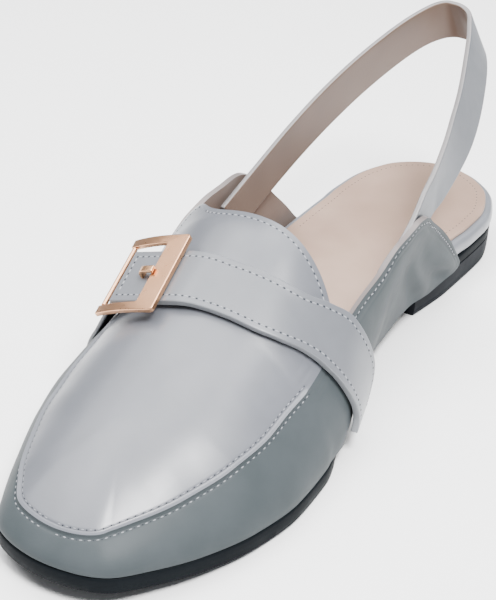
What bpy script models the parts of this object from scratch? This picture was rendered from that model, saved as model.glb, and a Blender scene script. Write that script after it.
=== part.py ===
"""A sling back flat, right shoe: low heel, moc-toe vamp with a tongue, a buckled saddle strap and a heel sling.

Metres, +Z up. The toe points to -Y, the medial side to +X, and the shoe stands on its sole at Z = 0.
A station is a place along the shoe as a share of the sole's length, from 0 at the heel to 1 at the toe.
Across runs over the last's surface: -1 is the lateral feather edge, 0 the crest, 1 the medial feather edge.
"""
from bisect import bisect_left
from math import acos, cos, pi, radians, sin, tan

import bmesh
import bpy
from mathutils import Matrix, Vector

LATERAL = -1
MEDIAL = 1

# Driving sizes, in metres
SOLE_LENGTH = 0.250
BALL_WIDTH = 0.0844
HEEL_RISE = 0.0120
TOE_SPRING = 0.0050
TREAD_THICKNESS = 0.00515
WAIST_THICKNESS = 0.0037
INSTEP_RISE = 0.052
WALL = 0.0018
SEAM_RISE = 0.0007
SEAM_WIDTH = 0.0022
BOARD_THICKNESS = 0.0052
SOCK_THICKNESS = 0.0010
SOCK_MARGIN = 0.0030
STRAP_THICKNESS = 0.0021
STRAP_WIDTH = 0.0190
SLING_WIDTH = 0.0150
SLING_THICKNESS = 0.0018
SLING_HEIGHT = 0.0770
SLING_REACH = 0.0026
BUCKLE_LENGTH = 0.0286
BUCKLE_WIDTH = 0.0228
BUCKLE_THICKNESS = 0.0016
BUCKLE_FACE = 0.0072
BUCKLE_ARM = 0.0031
BUCKLE_ROUNDING = 0.0012
BUCKLE_DROP = 0.0021
BAR_THICKNESS = 0.0016
PRONG_WIDTH = 0.0022
PRONG_THICKNESS = 0.0011
PRONG_LAP = 0.0011
TAB_THICKNESS = 0.0013
TAB_WIDTH = 0.0120
CLEARANCE = 0.0003

# Driving stations: the heel's breast, where the toe starts to spring, the notch between wing and tongue,
# the tongue's end at the crest, the middle of the buckle, and the centre of the fan of ribs round the toe
BREAST_STATION = 0.31
SPRING_STATION = 0.67
NOTCH_STATION = 0.624
TONGUE_STATION = 0.553
BUCKLE_STATION = 0.661
FAN_STATION = 0.832

# Fades, as stations from the notch: the upper's hang over the outsole, and the raised seam; from the breast:
# the sling's seat in the wings. The strap's is across, from the buckle's face to where it lies on the vamp.
HANG_FADE = (0.006, 0.05)
SEAM_FADE = (0.03, 0.07)
SLING_SEAT = (-0.02, 0.01)
STRAP_FREE = 0.2

# Slopes in degrees: the sling's fall towards the toe, the buckle's fall to the lateral side and to the toe
SLING_FALL = 19.8
BUCKLE_ROLL = 20.2
BUCKLE_PITCH = 25.3

# Shares that shape the surfaces
BUCKLE_ACROSS = -0.373
BUCKLE_REACH = 0.652
SEAM_REACH = 0.60
FAN_SOFTNESS = 0.056
CROWN = 2.3
WALL_LEAN = 0.62
WALL_LOW = 0.33
WALL_HIGH = 0.72
TONGUE_ROUNDING = 2.5
TONGUE_SKEW = 0.17
TONGUE_SKEW_POWER = 4
TAB_FOOT = -0.97
TAB_HEAD = -0.73
ACROSS_SPAN = 0.04
STATION_SPAN = 0.01


def columns(names, rows):
    """A table as one list of numbers for each named column."""
    return {name: [row[place] for row in rows] for place, name in enumerate(names)}


# Half widths of the sole on each side of its axis, as shares of the ball width
SOLE = columns(("station", "lateral", "medial"), (
    (0.000, 0.000, 0.000),
    (0.016, 0.158, 0.156),
    (0.056, 0.273, 0.273),
    (0.128, 0.336, 0.333),
    (0.232, 0.350, 0.320),
    (0.352, 0.353, 0.276),
    (0.448, 0.378, 0.284),
    (0.540, 0.432, 0.352),
    (0.620, 0.474, 0.444),
    (0.688, 0.493, 0.506),
    (0.752, 0.480, 0.515),
    (0.820, 0.430, 0.484),
    (0.888, 0.347, 0.412),
    (0.944, 0.262, 0.316),
    (0.980, 0.188, 0.230),
    (1.000, -0.013, 0.013),
))
# How far the sole's top is lifted towards the heel, as a share of the rise
ARCH = columns(("station", "lift"), (
    (0.00, 1.00), (0.35, 1.00), (0.42, 0.71), (0.52, 0.27), (0.59, 0.04), (0.63, 0.00), (1.00, 0.00),
))
# The upper's edge on each side: the wing's top edge from the heel end to the notch, then the toe seam.
# Insets from the sole's outline and the wall's fullness are shares of the ball width, rises above the sole's
# top are shares of the instep's rise, and the hang over the outsole's side is a share of its thickness.
MEDIAL_EDGE = columns(("station", "inset", "rise", "fullness", "hang"), (
    (0.220, -0.026, 0.017, 0.002, 0.45),
    (0.236, -0.028, 0.119, 0.003, 0.60),
    (0.260, -0.035, 0.269, 0.004, 0.80),
    (0.292, -0.050, 0.423, 0.005, 1.00),
    (0.332, -0.075, 0.567, 0.006, 1.00),
    (0.372, -0.090, 0.690, 0.012, 1.00),
    (0.396, -0.090, 0.712, 0.018, 1.00),
    (0.436, -0.083, 0.705, 0.034, 1.00),
    (0.484, -0.057, 0.635, 0.048, 1.00),
    (0.528, -0.015, 0.600, 0.048, 1.00),
    (0.568, 0.018, 0.575, 0.038, 0.60),
    (0.628, 0.068, 0.510, 0.028, 0.00),
    (0.680, 0.104, 0.456, 0.020, 0.00),
    (0.732, 0.120, 0.406, 0.018, 0.00),
    (0.800, 0.118, 0.346, 0.016, 0.00),
    (0.860, 0.118, 0.280, 0.013, 0.00),
    (0.924, 0.108, 0.216, 0.011, 0.00),
    (0.970, 0.104, 0.166, 0.010, 0.00),
    (1.000, 0.076, 0.139, 0.010, 0.00),
))
LATERAL_EDGE = columns(("station", "inset", "rise", "fullness", "hang"), (
    (0.248, -0.026, 0.019, 0.001, 0.60),
    (0.264, -0.024, 0.078, 0.001, 0.80),
    (0.298, -0.020, 0.242, 0.001, 1.00),
    (0.332, -0.016, 0.396, 0.001, 1.00),
    (0.388, -0.015, 0.660, 0.001, 1.00),
    (0.420, -0.012, 0.755, 0.001, 1.00),
    (0.448, 0.000, 0.779, 0.001, 1.00),
    (0.480, 0.008, 0.780, 0.002, 1.00),
    (0.520, 0.026, 0.750, 0.004, 1.00),
    (0.560, 0.041, 0.660, 0.014, 0.60),
    (0.628, 0.096, 0.505, 0.032, 0.00),
    (0.680, 0.104, 0.434, 0.036, 0.00),
    (0.732, 0.102, 0.376, 0.032, 0.00),
    (0.800, 0.088, 0.310, 0.020, 0.00),
    (0.860, 0.066, 0.246, 0.008, 0.00),
    (0.924, 0.060, 0.190, 0.005, 0.00),
    (0.976, 0.074, 0.150, 0.008, 0.00),
    (1.000, 0.076, 0.139, 0.010, 0.00),
))
# The crest of the vamp and tongue: its rise as a share of the instep's, its shift of the ball width
CREST = columns(("station", "rise", "shift"), (
    (0.500, 1.050, -0.030),
    (0.548, 1.008, -0.030),
    (0.564, 1.000, -0.030),
    (0.628, 0.879, -0.028),
    (0.696, 0.735, -0.020),
    (0.760, 0.613, -0.008),
    (0.820, 0.512, 0.000),
    (0.900, 0.380, 0.000),
))
# Footbed: how far its edge is set in, as a share of the wall, and its thickness as a share of the board's
BED = columns(("station", "inset", "thickness"), (
    (0.000, -0.22, 1.00),
    (0.170, -0.22, 1.00),
    (0.205, 0.10, 1.00),
    (0.350, 0.10, 0.95),
    (0.500, 0.10, 0.66),
    (0.550, 0.30, 0.56),
    (0.610, 1.75, 0.46),
    (0.900, 2.00, 0.38),
    (1.000, 2.30, 0.38),
))
# The saddle strap's edges from under the buckle to the medial feather edge.
# A lift is the strap's stand-off from the vamp, as a share of its thickness.
STRAP = columns(("across", "rear", "front", "rear_lift", "front_lift"), (
    (-0.56, 0.619, 0.695, 0.10, 0.10),
    (-0.25, 0.623, 0.697, 0.10, 0.10),
    (0.00, 0.625, 0.691, 0.00, 0.00),
    (0.14, 0.621, 0.687, 0.00, 0.00),
    (0.28, 0.613, 0.680, 0.00, 0.00),
    (0.40, 0.603, 0.666, 0.05, 0.00),
    (0.50, 0.585, 0.650, 0.20, 0.00),
    (0.60, 0.568, 0.637, 0.60, 0.05),
    (0.76, 0.565, 0.628, 1.10, 0.10),
    (0.90, 0.580, 0.620, 0.40, 0.05),
    (0.96, 0.590, 0.624, 0.10, 0.00),
))
# Half widths of the heel sling as a band seen from above, as shares of the ball width, and how far its lower
# edge stands out beyond its upper one, as a share of its own width
SLING = columns(("station", "lateral", "medial", "lateral_lean", "medial_lean"), (
    (0.000, 0.034, -0.034, -0.247, 0.247),
    (0.012, 0.108, 0.052, -0.150, 0.300),
    (0.036, 0.157, 0.099, -0.080, 0.390),
    (0.088, 0.216, 0.165, -0.073, 0.410),
    (0.188, 0.285, 0.260, -0.073, 0.350),
    (0.252, 0.311, 0.297, -0.060, 0.180),
    (0.310, 0.325, 0.317, -0.040, 0.020),
    (0.380, 0.334, 0.327, -0.020, -0.060),
    (0.450, 0.340, 0.329, -0.020, -0.060),
))
# The edges of the bottom's layers, from bottom to top: how far each step is set in, as a share of the layer's
# named thickness, and its share of the height
OUTSOLE_EDGE = ((0.15, 0.0), (0.0, 0.2), (0.0, 0.85), (0.1, 1.0))
HEEL_EDGE = ((0.07, 0.0), (0.02, 0.12), (0.0, 1.0))
FOOTBED_EDGE = ((0.17, 0.0), (0.04, 0.2), (0.0, 0.5), (0.08, 0.8), (0.31, 1.0))
SOCK_EDGE = ((0.0, 0.0), (0.0, 0.6), (0.5, 1.0))
# Rows of corners, as shares of the way from feather edge to seam and from crest to seam
SEAM_FOOT = 0.9
WALL_ROWS = (0.0, 0.18, 0.36, 0.54, 0.72, SEAM_FOOT, 1.0)
VAMP_ROWS = (0.0, 0.14, 0.28, 0.42, 0.56, 0.73, SEAM_FOOT, 1.0)
BAND_ROWS = (0.0, 0.25, 0.5, 0.75, 1.0)
# The prong's bends, in prong thicknesses towards the bar and up: from below the strap, and onto the face
PRONG_RISE = ((2.0, 0.0), (0.5, 0.33), (0.0, 1.4))
PRONG_LAY = ((-0.25, -1.0), (-1.0, -0.2), (-2.0, 0.0))

# Each sub-part's own finish: colour, roughness and metallic
FINISHES = {
    "outsole": ((0.010, 0.012, 0.016), 0.50, 0.0),
    "heel": ((0.014, 0.016, 0.020), 0.55, 0.0),
    "footbed": ((0.52, 0.54, 0.57), 0.40, 0.0),
    "sock": ((0.60, 0.49, 0.45), 0.50, 0.0),
    "upper": ((0.50, 0.52, 0.55), 0.35, 0.0),
    "saddle_strap": ((0.51, 0.53, 0.56), 0.35, 0.0),
    "buckle_tab": ((0.48, 0.50, 0.53), 0.40, 0.0),
    "sling_strap": ((0.50, 0.52, 0.54), 0.40, 0.0),
    "buckle_frame": ((0.83, 0.62, 0.50), 0.24, 1.0),
    "buckle_bar": ((0.72, 0.52, 0.42), 0.28, 1.0),
    "buckle_prong": ((0.83, 0.62, 0.48), 0.22, 1.0),
}


def smooth_curve(places, values):
    """A smooth function through the values at the places, with no overshoot between them."""
    step = [after - before for before, after in zip(places, places[1:])]
    rise = [(after - before) / width for before, after, width in zip(values, values[1:], step)]
    slope = [rise[0]] + [0.0] * (len(rise) - 1) + [rise[-1]]
    for i in range(1, len(rise)):
        if rise[i - 1] * rise[i] > 0:
            before = 2 * step[i] + step[i - 1]
            after = step[i] + 2 * step[i - 1]
            slope[i] = (before + after) / (before / rise[i - 1] + after / rise[i])

    def value(at):
        i = min(max(bisect_left(places, at) - 1, 0), len(step) - 1)
        t = (at - places[i]) / step[i]
        ends = values[i] * (1 + 2 * t) * (1 - t) ** 2 + values[i + 1] * t * t * (3 - 2 * t)
        return ends + step[i] * t * (1 - t) * (slope[i] * (1 - t) - slope[i + 1] * t)

    return value


def ease(start, end, at):
    """0 before the start, 1 after the end, and smooth between them."""
    t = min(max((at - start) / (end - start), 0.0), 1.0)
    return t * t * (3 - 2 * t)


def turn_at(station):
    """The angle of a station, which opens the round ends of heel and toe evenly."""
    return acos(1 - 2 * min(max(station, 0.0), 1.0))


def station_at(turn):
    return (1 - cos(turn)) / 2


def spread(start, end, count):
    """Evenly spaced values from start to end, both included."""
    return [start + (end - start) * i / count for i in range(count + 1)]


def sides(read):
    """A function for each side of the shoe, made by read from the side's name."""
    return {LATERAL: read("lateral"), MEDIAL: read("medial")}


edges = {"lateral": LATERAL_EDGE, "medial": MEDIAL_EDGE}
sole_half = sides(lambda name: smooth_curve([turn_at(s) for s in SOLE["station"]], SOLE[name]))
sling_half = sides(lambda name: smooth_curve([turn_at(s) for s in SLING["station"]], SLING[name]))
sling_lean = sides(lambda name: smooth_curve([turn_at(s) for s in SLING["station"]], SLING[name + "_lean"]))
edge_inset = sides(lambda name: smooth_curve(edges[name]["station"], edges[name]["inset"]))
edge_rise = sides(lambda name: smooth_curve(edges[name]["station"], edges[name]["rise"]))
edge_hang = sides(lambda name: smooth_curve(edges[name]["station"], edges[name]["hang"]))
edge_fullness = sides(lambda name: smooth_curve(edges[name]["station"], edges[name]["fullness"]))
arch_lift = smooth_curve(ARCH["station"], ARCH["lift"])
bed_inset = smooth_curve(BED["station"], BED["inset"])
bed_share = smooth_curve(BED["station"], BED["thickness"])
crest_rise = smooth_curve(CREST["station"], CREST["rise"])
crest_shift = smooth_curve(CREST["station"], CREST["shift"])
strap_rear = smooth_curve(STRAP["across"], STRAP["rear"])
strap_front = smooth_curve(STRAP["across"], STRAP["front"])
strap_rear_lift = smooth_curve(STRAP["across"], STRAP["rear_lift"])
strap_front_lift = smooth_curve(STRAP["across"], STRAP["front_lift"])


def lengthwise(station):
    return SOLE_LENGTH * (0.5 - station)


def outline_place(side, turn):
    return Vector((side * BALL_WIDTH * sole_half[side](turn), lengthwise(station_at(turn))))


def inward(side, turn):
    """The direction in plan from the sole's outline into the shoe."""
    nudge = 1e-4
    if turn < nudge:
        return Vector((0.0, -1.0))
    if turn > pi - nudge:
        return Vector((0.0, 1.0))
    along = outline_place(side, turn + nudge) - outline_place(side, turn - nudge)
    return Vector((side * along.y, -side * along.x)).normalized()


def outline(side, turn, inset):
    """A point of the sole's outline in plan, moved inwards by the inset."""
    return outline_place(side, turn) + inset * inward(side, turn)


def spring(station):
    return TOE_SPRING * (max(station - SPRING_STATION, 0.0) / (1 - SPRING_STATION)) ** 2


def sole_top(station):
    return TREAD_THICKNESS + (HEEL_RISE - TREAD_THICKNESS) * arch_lift(station) + spring(station)


def sole_bottom(station):
    """The outsole's underside: flat on the ground under the ball, arched in the waist."""
    thinning = min(arch_lift(station) * 2, 1.0)
    return sole_top(station) - TREAD_THICKNESS + (TREAD_THICKNESS - WAIST_THICKNESS) * thinning


def bed_bottom(station):
    return sole_top(station) + CLEARANCE


def bed_top(station):
    return bed_bottom(station) + BOARD_THICKNESS * bed_share(station)


def sock_bottom(station):
    return bed_top(station) + CLEARANCE


def sock_top(station):
    return sock_bottom(station) + SOCK_THICKNESS


def fan_station(station):
    """The crest station that a rib runs to: its own, until the ribs fan out round the toe."""
    if station < FAN_STATION - FAN_SOFTNESS:
        return station
    if station > FAN_STATION + FAN_SOFTNESS:
        return FAN_STATION
    return FAN_STATION - (FAN_STATION + FAN_SOFTNESS - station) ** 2 / (4 * FAN_SOFTNESS)


def crest_height(station):
    return sole_top(station) + INSTEP_RISE * crest_rise(station)


def crest_point(station):
    return Vector((BALL_WIDTH * crest_shift(station), lengthwise(station), crest_height(station)))


def feather_point(side, turn):
    """The upper's lowest outer point at a rib: on the sole's edge in front, over the outsole's side at the waist."""
    station = station_at(turn)
    outset = 1 - ease(NOTCH_STATION + HANG_FADE[0], NOTCH_STATION + HANG_FADE[1], station)
    plan = outline(side, turn, CLEARANCE - outset * (WALL + 2 * CLEARANCE))
    thickness = sole_top(station) - sole_bottom(station)
    return Vector((plan.x, plan.y, sole_top(station) + CLEARANCE - edge_hang[side](station) * thickness))


def edge_point(side, turn):
    """The wing's top edge, or in front of the notch the toe seam."""
    station = station_at(turn)
    plan = outline(side, turn, BALL_WIDTH * edge_inset[side](station))
    return Vector((plan.x, plan.y, sole_top(station) + INSTEP_RISE * edge_rise[side](station)))


def wall_point(side, turn, share):
    """The outer face of the side wall, from the feather edge at 0 to the top edge or seam at 1."""
    foot = feather_point(side, turn)
    top = edge_point(side, turn)
    fullness = BALL_WIDTH * edge_fullness[side](station_at(turn)) * inward(side, turn).to_3d()
    low = foot - fullness
    low.z = foot.z + WALL_LOW * (top.z - foot.z)
    high = foot.lerp(top, WALL_LEAN) - fullness
    high.z = foot.z + WALL_HIGH * (top.z - foot.z)
    rest = 1 - share
    return (rest ** 3 * foot + 3 * rest * rest * share * low
            + 3 * rest * share * share * high + share ** 3 * top)


def vamp_point(side, turn, share):
    """The outer face of the vamp or tongue, from the crest at 0 to the seam at 1."""
    nudge = 0.002
    centre = fan_station(station_at(turn))
    crest = crest_point(centre)
    seam = edge_point(side, turn)
    grade = (crest_height(centre + nudge) - crest_height(centre - nudge)) / (2 * nudge * SOLE_LENGTH)
    slant = grade * (crest.y - seam.y)
    plan = crest.xy.lerp(seam.xy, share)
    height = crest.z + slant * share + (seam.z - crest.z - slant) * share ** CROWN
    return Vector((plan.x, plan.y, height))


def last_point(across, station):
    """A point of the closed last surface, over vamp and side walls."""
    side = MEDIAL if across >= 0 else LATERAL
    reach = abs(across)
    turn = turn_at(station)
    if reach <= SEAM_REACH:
        return vamp_point(side, turn, reach / SEAM_REACH)
    return wall_point(side, turn, (1 - reach) / (1 - SEAM_REACH))


def last_normal(across, station):
    """The outward direction of the last surface, taken over a span that rounds its corner at the seam."""
    over = last_point(across + ACROSS_SPAN, station) - last_point(across - ACROSS_SPAN, station)
    along = last_point(across, station + STATION_SPAN) - last_point(across, station - STATION_SPAN)
    return along.cross(over).normalized()


def material(name):
    """The finish of one sub-part."""
    colour, roughness, metallic = FINISHES[name]
    finish = bpy.data.materials.new(name)
    finish.use_nodes = True
    shader = finish.node_tree.nodes["Principled BSDF"]
    shader.inputs["Base Color"].default_value = (*colour, 1.0)
    shader.inputs["Roughness"].default_value = roughness
    shader.inputs["Metallic"].default_value = metallic
    return finish


def add_grid(bm, rows, across, place):
    """A grid of faces in a bmesh, each corner put where place says for its row and column."""
    made = bmesh.ops.create_grid(bm, x_segments=len(across) - 1, y_segments=len(rows) - 1, size=0.5)
    for vert in made["verts"]:
        row = rows[round((vert.co.y + 0.5) * (len(rows) - 1))]
        column = across[round((vert.co.x + 0.5) * (len(across) - 1))]
        vert.co = place(row, column)


def finish_object(name, bm, closed=False):
    """The bmesh as an object: corners that meet are merged, and a closed body gets its open ends filled."""
    bmesh.ops.remove_doubles(bm, verts=bm.verts, dist=2e-6)
    if closed:
        bmesh.ops.holes_fill(bm, edges=[edge for edge in bm.edges if edge.is_boundary])
        bmesh.ops.recalc_face_normals(bm, faces=bm.faces)
    mesh = bpy.data.meshes.new(name)
    bm.to_mesh(mesh)
    bm.free()
    mesh.shade_smooth()
    mesh.set_sharp_from_angle(angle=radians(40))
    thing = bpy.data.objects.new(name, mesh)
    bpy.context.collection.objects.link(thing)
    return thing


def add_wall(thing, thickness, offset):
    """A live wall thickness on a sheet, inwards for -1 and outwards for 1."""
    wall = thing.modifiers.new("wall", "SOLIDIFY")
    wall.thickness = thickness
    wall.offset = offset
    wall.use_even_offset = True


def slab(name, turns, profile, thickness, bottom, top, inset):
    """A layer of the bottom: the outline lofted between two heights, with a profiled edge."""
    loop = [(LATERAL, *step) for step in profile] + [(MEDIAL, *step) for step in reversed(profile)]
    loop.append(loop[0])

    def place(turn, corner):
        side, edge_in, share = loop[corner]
        station = station_at(turn)
        plan = outline(side, turn, inset(station) + thickness * edge_in)
        return Vector((plan.x, plan.y, bottom(station) * (1 - share) + top(station) * share))

    bm = bmesh.new()
    add_grid(bm, turns, list(range(len(loop))), place)
    return finish_object(name, bm, closed=True)


def make_outsole():
    return slab("outsole", spread(0, pi, 56), OUTSOLE_EDGE, TREAD_THICKNESS, sole_bottom, sole_top,
                lambda station: 0.0)


def make_heel():
    return slab("heel", spread(0, turn_at(BREAST_STATION), 20), HEEL_EDGE, HEEL_RISE, lambda station: 0.0,
                lambda station: sole_bottom(station) - CLEARANCE, lambda station: 0.0)


def make_footbed():
    return slab("footbed", spread(0, pi, 64), FOOTBED_EDGE, BOARD_THICKNESS, bed_bottom, bed_top,
                lambda station: WALL * bed_inset(station))


def make_sock():
    return slab("sock", spread(0, pi, 56), SOCK_EDGE, SOCK_THICKNESS, sock_bottom, sock_top,
                lambda station: WALL * bed_inset(station) + SOCK_MARGIN)


def tongue_place(turn, share):
    """The rib and the share of it at a point of the tongue, whose rear end is round and skewed laterally.

    The share is signed: negative on the lateral side."""
    station = station_at(turn)
    back = min(max((NOTCH_STATION - station) / (NOTCH_STATION - TONGUE_STATION), 0.0), 1.0)
    share *= (1 - back ** TONGUE_ROUNDING) ** (1 / TONGUE_ROUNDING)
    if share < 0:
        station -= TONGUE_SKEW * share ** TONGUE_SKEW_POWER * back
    return turn_at(station), share


def seam_point(side, turn):
    """The top of the raised seam, which dies out where the saddle strap covers it."""
    up = (Vector((0, 0, 1)) - inward(side, turn).to_3d()).normalized()
    fade = ease(NOTCH_STATION + SEAM_FADE[0], NOTCH_STATION + SEAM_FADE[1], station_at(turn))
    return edge_point(side, turn) + SEAM_RISE * fade * up


def make_upper():
    """One wall: the side wall with its two wings all round, and the vamp with the tongue."""
    notch = turn_at(NOTCH_STATION)
    front = spread(notch, pi, 24)
    rear = {side: spread(turn_at(edge["station"][0]), notch, 17)[:-1]
            for side, edge in ((LATERAL, LATERAL_EDGE), (MEDIAL, MEDIAL_EDGE))}
    ribs = [(LATERAL, turn) for turn in rear[LATERAL] + front]
    ribs += [(MEDIAL, turn) for turn in reversed(rear[MEDIAL] + front[:-1])]
    bm = bmesh.new()

    def place_wall(rib, column):
        side, turn = rib
        if column == 1.0:
            return seam_point(side, turn)
        height = (edge_point(side, turn) - feather_point(side, turn)).length
        last = 1 - SEAM_WIDTH / 2 / max(height, SEAM_WIDTH)
        return wall_point(side, turn, last * column / SEAM_FOOT)

    add_grid(bm, ribs, WALL_ROWS[::-1], place_wall)

    tongue_rows = 7
    tongue = [turn_at(NOTCH_STATION - (NOTCH_STATION - TONGUE_STATION) * cos(pi / 2 * i / tongue_rows))
              for i in range(tongue_rows)]

    def place_vamp(turn, column):
        side = MEDIAL if column >= 0 else LATERAL
        if turn < notch:
            rib, share = tongue_place(turn, column)
            return vamp_point(side, rib, abs(share))
        if abs(column) == 1.0:
            return seam_point(side, turn)
        span = (edge_point(side, turn) - crest_point(fan_station(station_at(turn)))).length
        return vamp_point(side, turn, abs(column) * (1 - SEAM_WIDTH / 2 / span) / SEAM_FOOT)

    add_grid(bm, tongue + front, VAMP_ROWS[::-1] + tuple(-share for share in VAMP_ROWS[1:]), place_vamp)
    upper = finish_object("upper", bm)
    add_wall(upper, WALL, -1)
    return upper


def buckle_place():
    """The buckle's matrix: its middle over the strap, X across to the lateral side, Y to the toe, Z outwards."""
    stand = 2 * (CLEARANCE + STRAP_THICKNESS) + BUCKLE_THICKNESS / 2 + SEAM_RISE / 2
    middle = last_point(BUCKLE_ACROSS, BUCKLE_STATION) + stand * last_normal(BUCKLE_ACROSS, BUCKLE_STATION)
    across = Vector((-cos(radians(BUCKLE_ROLL)), 0.0, -sin(radians(BUCKLE_ROLL))))
    toward = Vector((0.0, -cos(radians(BUCKLE_PITCH)), -sin(radians(BUCKLE_PITCH))))
    out = across.cross(toward).normalized()
    toward = out.cross(across)
    place = Matrix((across, toward, out)).transposed().to_4x4()
    place.translation = middle
    return place


def drop_at(reach):
    """How far the buckle's arms have bent down, at a distance from its middle towards the bar."""
    start = -BUCKLE_WIDTH / 4
    return BUCKLE_DROP * (max(reach - start, 0.0) / (BUCKLE_WIDTH / 2 - start)) ** 2


def strap_under(across, share):
    """The saddle strap's underside on the vamp, from its rear edge at 0 to its front edge at 1."""
    station = strap_rear(across) * (1 - share) + strap_front(across) * share
    stand_off = strap_rear_lift(across) * (1 - share) + strap_front_lift(across) * share
    rise = CLEARANCE + SEAM_RISE / 2 + STRAP_THICKNESS * stand_off
    return last_point(across, station) + rise * last_normal(across, station)


def strap_end(across, share):
    """The strap's underside in the buckle: flat behind the frame's face, up to the bar."""
    reach = BALL_WIDTH * BUCKLE_REACH * (BUCKLE_ACROSS - across)
    under = -(BUCKLE_THICKNESS / 2 + CLEARANCE + STRAP_THICKNESS)
    return buckle_place() @ Vector((reach, (share - 0.5) * STRAP_WIDTH, under))


def strap_sheet(across, share):
    """The strap's underside from its end in the buckle, over the instep, to the medial feather edge."""
    edge = BUCKLE_ACROSS + BUCKLE_WIDTH / 2 / (BALL_WIDTH * BUCKLE_REACH)
    carried = 1 - ease(edge, edge + STRAP_FREE, across)
    return strap_under(across, share).lerp(strap_end(across, share), carried)


def prong_root():
    """Where the prong comes up through the strap, across the buckle."""
    return BUCKLE_FACE - BUCKLE_WIDTH / 2 + PRONG_WIDTH + 2 * PRONG_THICKNESS


def make_slot():
    """The cutter of the strap's hole for the prong."""
    bm = bmesh.new()
    bmesh.ops.create_cube(bm, size=1.0)
    length = 3 * PRONG_THICKNESS
    width = PRONG_WIDTH + 2 * CLEARANCE
    bmesh.ops.scale(bm, vec=(length, width, 4 * STRAP_THICKNESS), verts=bm.verts)
    slot = finish_object("slot", bm)
    slot.matrix_world = buckle_place() @ Matrix.Translation((prong_root(), 0.0, -STRAP_THICKNESS))
    slot.hide_render = True
    slot.display_type = "WIRE"
    return slot


def make_saddle_strap():
    bm = bmesh.new()
    end = BUCKLE_WIDTH / 2 - 1.5 * BAR_THICKNESS - 2 * CLEARANCE
    across = spread(BUCKLE_ACROSS - end / (BALL_WIDTH * BUCKLE_REACH), STRAP["across"][-1], 36)
    add_grid(bm, across, BAND_ROWS, strap_sheet)
    strap = finish_object("saddle_strap", bm)
    add_wall(strap, STRAP_THICKNESS, 1)
    cut = strap.modifiers.new("slot", "BOOLEAN")
    cut.object = make_slot()
    return strap


def arm_path(medial, half_length, radius):
    """One edge of the buckle's frame: along the rear arm, round the face and back along the front arm."""
    steps = 5
    lateral = BUCKLE_WIDTH / 2
    rear = [(reach, -half_length) for reach in spread(lateral, medial + radius, steps)]
    corner = [(medial + radius * (1 - sin(angle)), -half_length + radius * (1 - cos(angle)))
              for angle in spread(0, pi / 2, steps)[1:]]
    half = rear + corner
    return half + [(reach, -along) for reach, along in reversed(half)]


def make_buckle_frame():
    """A broad face over the strap, with two arms that bend down to the bar."""
    outer = arm_path(-BUCKLE_WIDTH / 2, BUCKLE_LENGTH / 2, BUCKLE_ROUNDING)
    inner = arm_path(BUCKLE_FACE - BUCKLE_WIDTH / 2, BUCKLE_LENGTH / 2 - BUCKLE_ARM, BUCKLE_ROUNDING / 2)
    loop = [(outer, -0.5), (outer, 0.5), (inner, 0.5), (inner, -0.5), (outer, -0.5)]

    def place(step, corner):
        path, level = loop[corner]
        reach, along = path[step]
        return Vector((reach, along, level * BUCKLE_THICKNESS - drop_at(reach)))

    bm = bmesh.new()
    add_grid(bm, list(range(len(outer))), list(range(len(loop))), place)
    frame = finish_object("buckle_frame", bm, closed=True)
    frame.matrix_world = buckle_place()
    return frame


def bar_reach():
    return BUCKLE_WIDTH / 2 - BAR_THICKNESS


def make_buckle_bar():
    """The round bar between the ends of the two arms."""
    bm = bmesh.new()
    length = BUCKLE_LENGTH - 2 * (BUCKLE_ARM + CLEARANCE)
    bmesh.ops.create_cone(bm, cap_ends=True, segments=16, radius1=BAR_THICKNESS / 2,
                          radius2=BAR_THICKNESS / 2, depth=length)
    bmesh.ops.rotate(bm, cent=(0, 0, 0), matrix=Matrix.Rotation(pi / 2, 3, "X"), verts=bm.verts)
    bar = finish_object("buckle_bar", bm, closed=True)
    bar.matrix_world = buckle_place() @ Matrix.Translation((bar_reach(), 0.0, -drop_at(bar_reach())))
    return bar


def prong_over():
    return BUCKLE_THICKNESS / 2 + CLEARANCE + PRONG_THICKNESS / 2


def prong_under():
    return BUCKLE_THICKNESS / 2 + 2 * CLEARANCE + STRAP_THICKNESS + PRONG_THICKNESS / 2


def prong_at_bar():
    """How far below the buckle's middle plane the prong passes under the bar."""
    return max(drop_at(bar_reach()) + BAR_THICKNESS / 2 + CLEARANCE + PRONG_THICKNESS / 2, prong_under())


def make_buckle_prong():
    """A flat prong: from under the bar below the strap, up through its hole, onto the frame's face."""
    root = Vector((prong_root(), 0.0))
    under = Vector((0.0, -prong_under()))
    over = Vector((0.0, prong_over()))
    route = [
        Vector((bar_reach() + BAR_THICKNESS / 2, -prong_at_bar())),
        Vector((bar_reach() - BAR_THICKNESS, -prong_at_bar())),
    ]
    route += [root + under + PRONG_THICKNESS * Vector(bend) for bend in PRONG_RISE]
    route += [root + over + PRONG_THICKNESS * Vector(bend) for bend in PRONG_LAY]
    route.append(over + Vector((BUCKLE_FACE - BUCKLE_WIDTH / 2 - PRONG_LAP, 0.0)))
    loop = [(-0.5, -0.5), (-0.5, 0.5), (0.5, 0.5), (0.5, -0.5), (-0.5, -0.5)]

    def place(step, corner):
        before = route[max(step - 1, 0)]
        after = route[min(step + 1, len(route) - 1)]
        way = (after - before).normalized()
        sideways, level = loop[corner]
        reach = route[step].x - level * PRONG_THICKNESS * way.y
        height = route[step].y + level * PRONG_THICKNESS * way.x
        return Vector((reach, sideways * PRONG_WIDTH, height))

    bm = bmesh.new()
    add_grid(bm, list(range(len(route))), list(range(len(loop))), place)
    prong = finish_object("buckle_prong", bm, closed=True)
    prong.matrix_world = buckle_place()
    return prong


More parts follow.
